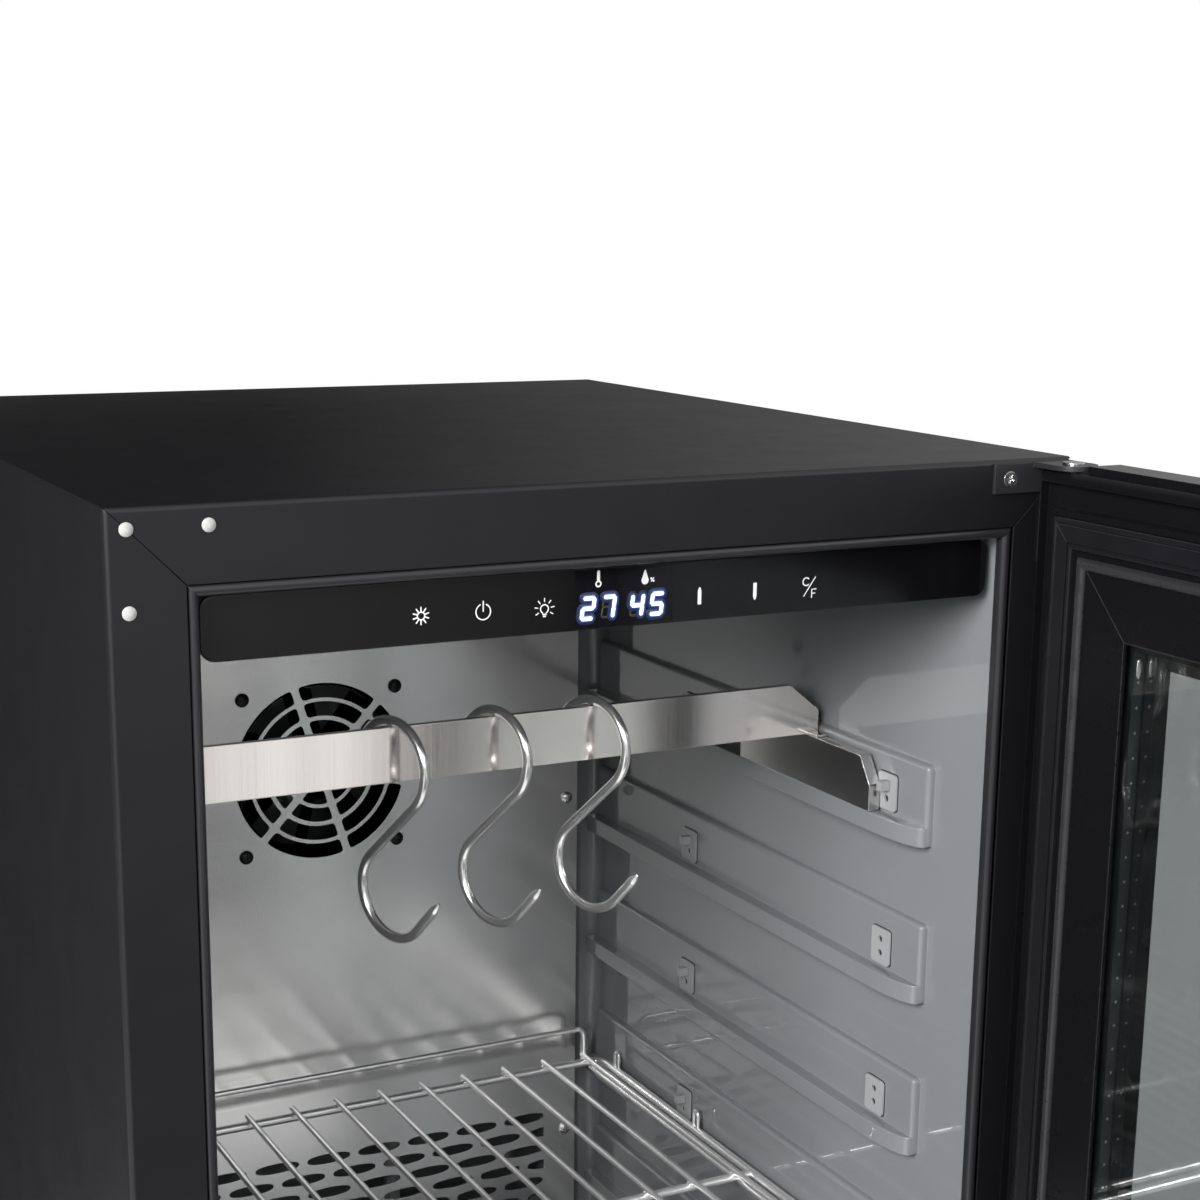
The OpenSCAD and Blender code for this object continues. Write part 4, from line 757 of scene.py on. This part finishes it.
SIGNS = ((petal_sign, -104.8, 783.0), (power_sign, -74.6, 782.6), (lamp_sign, -44.0, 781.6),
         (thermometer_sign, -16.4, 793.6), (droplet_sign, 8.0, 792.8), (step_sign, 37.5, 781.75, 1),
         (step_sign, 68.1, 782.0, -1), (unit_sign, 99.2, 781.6))
bm = bmesh.new()
for sign, *place in SIGNS:
    sign(bm, *place)
new_piece("panel_signs", bm, ICON_WHITE, "cabinet", smooth=60)

WINDOW, WINDOW_RISE = ((-29, 771.5), (22.5, 771.5), (22.5, 798), (-29, 798)), 0.02 * MM
DIGIT_W, DIGIT_H, DIGIT_SLANT = 2.75, 4.75, math.tan(math.radians(8))
SEGMENT_TRIM_X, SEGMENT_TRIM_Z = 0.136, 0.17
SEGMENTS = {"a": ((-1, 1), (1, 1)), "b": ((1, 1), (1, 0)), "c": ((1, 0), (1, -1)), "d": ((-1, -1), (1, -1)),
            "e": ((-1, 0), (-1, -1)), "f": ((-1, 1), (-1, 0)), "g": ((-1, 0), (1, 0))}
LIT = {"2": "abged", "4": "fgbc", "5": "afgcd", "7": "abc"}
SHOWN = (("2", -21.95, 780.2), ("7", -11.3, 780.2), ("4", 3.7, 779.9), ("5", 14.2, 779.9))
REST_W, REST_RISE, LIT_W, LIT_RISE = 1.3, 0.16, 1.8, 0.58
HALO_W, HALO_NARROW, HALO_RISE, HALO_STEP = 5.6, 0.62, 0.18, 0.06


def segment_line(key, x, z):
    """Ends of one segment of the digit around a point, cut short and slanted."""
    (u0, v0), (u1, v1) = SEGMENTS[key]
    ends = []
    for u, v, du, dv in ((u0, v0, u1 - u0, v1 - v0), (u1, v1, u0 - u1, v0 - v1)):
        across = (u + du * SEGMENT_TRIM_X) * DIGIT_W
        height = (v + dv * SEGMENT_TRIM_Z) * DIGIT_H
        ends.append((x + across + height * DIGIT_SLANT, z + height))
    return ends


def digits(name, material, width, lit, rise):
    """The lit segments of every digit, or the unlit ones, as one piece."""
    bm = bmesh.new()
    for digit, x, z in SHOWN:
        for key in SEGMENTS:
            if (key in LIT[digit]) == lit:
                stroke(bm, segment_line(key, x, z), width, rise=rise * MM)
    new_piece(name, bm, material, "cabinet", smooth=60)


bm = bmesh.new()
filled(bm, WINDOW, WINDOW_RISE)
new_piece("display_window", bm, WINDOW_DARK, "cabinet", smooth=60)
digits("digit_rest", DIGIT_OFF, REST_W, False, REST_RISE)
for i, halo in enumerate(DIGIT_HALO):
    digits("digit_halo_%d" % i, halo, HALO_W - HALO_NARROW * i, True, HALO_RISE + HALO_STEP * i)
digits("digit_lit", DIGIT_LIT, LIT_W, True, LIT_RISE)


# Rear air cover: folded sheet with a round fan grille and rows of vents, in millimetres along x and z

COVER_HALF, COVER_Z0, COVER_Z1, COVER_T, COVER_GAP = 188.7, 228.0, 796.5, 1.0, 0.2
FAN_Z, FAN_RINGS = 599.0, ((59.0, 49.4), (46.9, 37.3), (34.4, 25.2), (22.7, 13.5))
FAN_SPOKE, FAN_SPOKES, FAN_TURN, FAN_EASE, FAN_STEPS = 5.0, 6, 47, 2.6, 14
VENT_TOP, VENT_ROW, VENT_COL, VENT_ROWS, VENT_SIDE = 324.0, 12.5, 37.0, 8, 5
VENT_HALF, VENT_L, VENT_T, VENT_LEAST, VENT_LENS, VENT_STEPS = 164.0, 31.0, 7.0, 4, 0.7, 24


def grille_slot(outer, inner, start):
    """One slot of the fan grille between two spokes."""
    lo, li = [math.asin(FAN_SPOKE / 2 / r) for r in (outer, inner)]
    a0, a1 = math.radians(start), math.radians(start + 360 / FAN_SPOKES)
    path = []
    for r, first, last in ((outer, a0 + lo, a1 - lo), (inner, a1 - li, a0 + li)):
        for k in range(FAN_STEPS + 1):
            t = first + (last - first) * k / FAN_STEPS
            path.append((r * math.cos(t), FAN_Z + r * math.sin(t), k in (0, FAN_STEPS)))
    kept = [p for k, p in enumerate(path) if p[2] or 2 <= k % (FAN_STEPS + 1) <= FAN_STEPS - 2]
    return eased(kept, FAN_EASE)


def vent_slot(x, z):
    """Lens-shaped vent, cut off at the end of its row."""
    turn = [2 * math.pi * k / VENT_STEPS for k in range(VENT_STEPS)]
    return [(max(-VENT_HALF, min(VENT_HALF, x + VENT_L / 2 * math.cos(t))),
             z + VENT_T / 2 * math.copysign(abs(math.sin(t)) ** VENT_LENS, math.sin(t))) for t in turn]


def cut_sheet(bm, outlines, y, thick):
    """Flat sheet with holes at y in metres. The first outline, in millimetres as all, is its edge."""
    curve = bpy.data.curves.new("sheet", "CURVE")
    curve.dimensions, curve.fill_mode, curve.extrude = "2D", "BOTH", thick / 2 * MM
    for path in outlines:
        spline = curve.splines.new("POLY")
        spline.points.add(len(path) - 1)
        for point, (x, z) in zip(spline.points, path):
            point.co = (x * MM, z * MM, 0, 1)
        spline.use_cyclic_u = True
    holder = bpy.data.objects.new("sheet", curve)
    mesh = bpy.data.meshes.new_from_object(holder)
    for v in mesh.vertices:
        v.co = (v.co.x, y + thick / 2 * MM - v.co.z, v.co.y)
    bm.from_mesh(mesh)
    for data, block in ((bpy.data.objects, holder), (bpy.data.curves, curve), (bpy.data.meshes, mesh)):
        data.remove(block)
    bmesh.ops.remove_doubles(bm, verts=bm.verts, dist=MERGE)
    bmesh.ops.recalc_face_normals(bm, faces=bm.faces)


sheet = [[(sx * COVER_HALF, COVER_Z0 if sz < 0 else COVER_Z1) for sx, sz in CORNERS]]
sheet += [grille_slot(outer, inner, FAN_TURN + 360 / FAN_SPOKES * k)
          for outer, inner in FAN_RINGS for k in range(FAN_SPOKES)]
for row in range(VENT_ROWS):
    for i in range(-VENT_SIDE, VENT_SIDE + 1):
        x = (i + row % 2 / 2) * VENT_COL
        if abs(x) < VENT_HALF + VENT_L / 2 - VENT_LEAST:
            sheet.append(vent_slot(x, VENT_TOP - row * VENT_ROW))
bm = bmesh.new()
cut_sheet(bm, sheet, COVER_Y, COVER_T)
fold_y0, fold_y1 = COVER_Y + COVER_T * MM, CHAMBER_D - COVER_GAP * MM
for side in (-1, 1):
    fold_x0, fold_x1 = side * COVER_HALF * MM, side * (COVER_HALF - COVER_T) * MM
    fold = [(fold_x0, fold_y0), (fold_x0, fold_y1), (fold_x1, fold_y1), (fold_x1, fold_y0)]
    prism(bm, fold, "z", COVER_Z0 * MM, COVER_Z1 * MM)
cover = new_piece("cover_sheet", bm, LOOKS["cover_steel"], "cabinet", smooth=30)
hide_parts("evaporator_cover")


# Dark line around the clip plates on the pads, which also shows in their holes

CLIP_YS, CLIP_W, CLIP_H, CLIP_RISE, CLIP_R = (85.5 * MM, 303 * MM), 18.4 * MM, 21.9 * MM, 12.5 * MM, 3 * MM
CLIP_X0, CLIP_X1 = PAD_X - 0.35 * MM, PAD_X + 0.05 * MM
bm = bmesh.new()
for z, end in ledges():
    for y in CLIP_YS:
        if y + CLIP_W < end:
            plate = [(y + sy * CLIP_W / 2, z + CLIP_RISE + sz * CLIP_H / 2, True) for sy, sz in CORNERS]
            for side in (-1, 1):
                prism(bm, eased(plate, CLIP_R), "x", side * CLIP_X0, side * CLIP_X1)
new_piece("clip_shadows", bm, CLIP_SHADOW, "cabinet", smooth=30)


# Softened copies of the plates that are seen close

SOFT_EDGES = {"rail_brackets": 0.7, "hanging_bar": 0.5, "control_fascia": 0.6, "kick_grille": 0.8}
for node, width in SOFT_EDGES.items():
    softened(node, width * MM)


# Door glazing details, drawn in millimetres with the door closed and turned open about the hinge

HINGE_X, HINGE_Y = 234.5, -18.0
DOOR_HALF, DOOR_Z0, DOOR_Z1, FACE_Y = 247.5, 97.0, 835.2, -3.5
BEAD_IN, BORDER_R, SPACER_R = 44.6, 75.0, 78.5
FRIT_R0, FRIT_R1, FRIT_Y, FRIT_T = 63.5, 88.0, -24.9, 0.08
SPACER_YS, DOT_R, DOT_TOP, DOT_T, DOT_PITCH, DOT_ENDS = (-12.35, -21.85), 0.75, 0.7, 0.3, 12.5, 20
KEY_SIZE, KEY_END = (0.6, 1.7, 5.0), 9
LINE_W, LINE_RISE, LINE_SINK = 0.45, 0.07, 0.2
GASKET_R0, GASKET_R1, GASKET_Y = 24.2, 31.8, -0.6


def door_piece(name, bm, material):
    """Piece drawn on the closed door, turned a quarter to where the door stands open."""
    for v in bm.verts:
        v.co = ((HINGE_X - (v.co.y - HINGE_Y)) * MM, (HINGE_Y + v.co.x - HINGE_X) * MM, v.co.z * MM)
    new_piece(name, bm, material, "door", smooth=40)


def door_corner(sx, sz, r):
    """Point on the mitre of a corner, at a distance from both edges of the door."""
    return sx * (DOOR_HALF - r), DOOR_Z0 + r if sz < 0 else DOOR_Z1 - r


def door_ring(bm, outer, inner, y0, y1):
    """Flat frame between two distances from the door's edge."""
    far, near = [[door_corner(sx, sz, r) for sx, sz in CORNERS] for r in (outer, inner)]
    for i in range(4):
        j = (i + 1) % 4
        prism(bm, [far[i], far[j], near[j], near[i]], "y", y0, y1)


bm = bmesh.new()
door_ring(bm, FRIT_R0, FRIT_R1, FRIT_Y - FRIT_T, FRIT_Y)
door_piece("glass_frit", bm, FRIT_BLACK)

# The thin lighter ring along the inner edge of the border is a painted highlight of that edge; the strips
# across the corners mark the mitre seams of the border and the gasket
bm = bmesh.new()
door_ring(bm, BORDER_R - LINE_W, BORDER_R, FACE_Y - LINE_SINK, FACE_Y + LINE_RISE)
for sx in (-1, 1):
    for sz in (-1, 1):
        for r0, r1, y in ((BEAD_IN, BORDER_R, FACE_Y), (GASKET_R0, GASKET_R1, GASKET_Y)):
            a, b = [Vector(door_corner(sx, sz, r)) for r in (r0, r1)]
            across = (b - a).orthogonal().normalized() * LINE_W / 2
            mitre = [tuple(p) for p in (a - across, b - across, b + across, a + across)]
            prism(bm, mitre, "y", y - LINE_SINK, y + LINE_RISE)
door_piece("border_highlight_and_mitres", bm, LOOKS["bead_grey"])

spacer_x = DOOR_HALF - SPACER_R
middle_z = (DOOR_Z0 + DOOR_Z1) / 2
dots_up = int((DOOR_Z1 - DOOR_Z0 - 2 * SPACER_R - DOT_ENDS) / DOT_PITCH / 2)
bm = bmesh.new()
for side in (-1, 1):
    for y in SPACER_YS:
        for i in range(-dots_up, dots_up + 1):
            made = bmesh.ops.create_cone(bm, cap_ends=True, segments=10, radius1=DOT_R,
                                         radius2=DOT_R * DOT_TOP, depth=DOT_T)
            for v in made["verts"]:
                v.co = (side * (spacer_x + v.co.z), y + v.co.y, middle_z + i * DOT_PITCH + v.co.x)
door_piece("spacer_dots", bm, DOT_GREY)

bm = bmesh.new()
for side in (-1, 1):
    for y in SPACER_YS:
        for sz in (-1, 1):
            x, z = door_corner(side, sz, SPACER_R)
            weld(bm, (x, y, z - sz * KEY_END), KEY_SIZE)
door_piece("spacer_keys", bm, KEY_STEEL)


# Light and background

WORLD_LIGHT, FLOOR_GLOW, FLOOR_HALF = 0.06, 0.64, 4
RIMS = (((0.9, 2.2, 1.3), 16), ((-1.6, 1.9, 1.2), 8))


def area_light(name, place, target, size, power):
    lamp = bpy.data.lights.new(name, "AREA")
    lamp.shape = "RECTANGLE"
    lamp.size, lamp.size_y = size
    lamp.energy = power
    obj = bpy.data.objects.new(name, lamp)
    bpy.context.scene.collection.objects.link(obj)
    obj.location = place
    obj.rotation_euler = (Vector(target) - Vector(place)).to_track_quat("-Z", "Y").to_euler()
    return obj


area_light("key", (-1.55, -1.0, 1.5), (0.05, 0.1, 0.6), (1.2, 0.9), 88)
area_light("front", (-0.3, -2.7, 1.5), (0, 0.2, 0.55), (1.6, 1.2), 7)
area_light("fill", (1.9, -1.7, 1.5), (0, 0.1, 0.6), (1.2, 1.6), 5)
for place, power in RIMS:
    area_light("rim", place, (0, 0.4, 0.5), (1.2, 1.2), power).visible_glossy = False


def studio_card(name, corners, first, last, x0=0, x1=1):
    """Studio flag that only reflections see, with a glow that goes from first to last between x0 and x1."""
    m = Mat(name, (0.004, 0.004, 0.004), 1.0, Specular_IOR_Level=0.0, Emission_Color=(1, 1, 1, 1))
    across = m.node("SeparateXYZ", Vector=m.coords()).outputs["X"]
    m.link(m.ramp(across, first, last, x0, x1), "Emission Strength")
    mesh = bpy.data.meshes.new(name)
    mesh.from_pydata(corners, [], [(0, 1, 2, 3)])
    mesh.materials.append(m.mat)
    card = bpy.data.objects.new(name, mesh)
    bpy.context.scene.collection.objects.link(card)
    for ray in ("camera", "diffuse", "transmission", "volume_scatter", "shadow"):
        setattr(card, "visible_" + ray, False)


def upright(x0, x1, y, z0, z1):
    return [(x0, y, z0), (x1, y, z0), (x1, y, z1), (x0, y, z1)]


def sideways(x, y0, y1, z0, z1):
    return [(x, y0, z0), (x, y1, z0), (x, y1, z1), (x, y0, z1)]


def lying(x0, x1, y0, y1, z):
    return [(x0, y0, z), (x1, y0, z), (x1, y1, z), (x0, y1, z)]


studio_card("card_back", upright(-4, 2.4, 0.85, 0.86, 5), 0.0, 0.45, 0.1, 1.1)
studio_card("card_side", upright(-2, -0.27, 0.85, 0.0, 0.86), 0.3, 0.0, -0.85, -0.48)
studio_card("card_left", sideways(-2, -2.5, 0.85, 0, 4), 0.0, 0.0)
studio_card("card_over", lying(-2, 1.2, -0.6, 0.85, 3.2), 0.0, 0.0)
studio_card("card_front", upright(-3, 3.6, -3.4, 0.0, 1.0), 0.55, 0.05, 0.7, 2.3)
studio_card("card_low", lying(-0.8, 3.6, -2, -0.56, 0.004), 0.15, 0.05, 0.7, 2.3)
studio_card("card_far", lying(-0.8, 3.6, -3.4, -2, 0.004), 0.32, 0.05, 0.7, 2.3)
studio_card("card_bar", upright(0.03, 0.22, -0.56, 0.4, 0.6), 0.85, 0.85)


def background_rays(tree):
    """1 for rays that show the background: from the camera, in reflections and through glass."""
    info = tree.nodes.new("ShaderNodeLightPath")
    value = info.outputs["Is Camera Ray"]
    for ray in ("Is Glossy Ray", "Is Transmission Ray"):
        either = tree.nodes.new("ShaderNodeMath")
        either.operation = "MAXIMUM"
        tree.links.new(value, either.inputs[0])
        tree.links.new(info.outputs[ray], either.inputs[1])
        value = either.outputs[0]
    return value


world = bpy.data.worlds.new("studio")
bpy.context.scene.world = world
world.use_nodes = True
back = world.node_tree.nodes["Background"]
back.inputs["Color"].default_value = (1, 1, 1, 1)
level = world.node_tree.nodes.new("ShaderNodeMapRange")
level.inputs["To Min"].default_value = WORLD_LIGHT
level.inputs["To Max"].default_value = 1.0
world.node_tree.links.new(background_rays(world.node_tree), level.inputs["Value"])
world.node_tree.links.new(level.outputs["Result"], back.inputs["Strength"])

bm = bmesh.new()
bmesh.ops.create_grid(bm, x_segments=4, y_segments=4, size=FLOOR_HALF)
floor_mesh = bpy.data.meshes.new("floor")
bm.to_mesh(floor_mesh)
bm.free()
floor = bpy.data.objects.new("floor", floor_mesh)
bpy.context.scene.collection.objects.link(floor)
pale = Mat("floor_pale", (0.34, 0.34, 0.34), 0.6, Specular_IOR_Level=0.2, Emission_Color=(1, 1, 1, 1))
pale.bump(pale.noise(60, 2), 0.00005, 0.3)
pale.link(pale.ramp(background_rays(pale.tree), 0, FLOOR_GLOW, 0, 1), "Emission Strength")
floor_mesh.materials.append(pale.mat)

bpy.context.scene.view_settings.view_transform = "Standard"
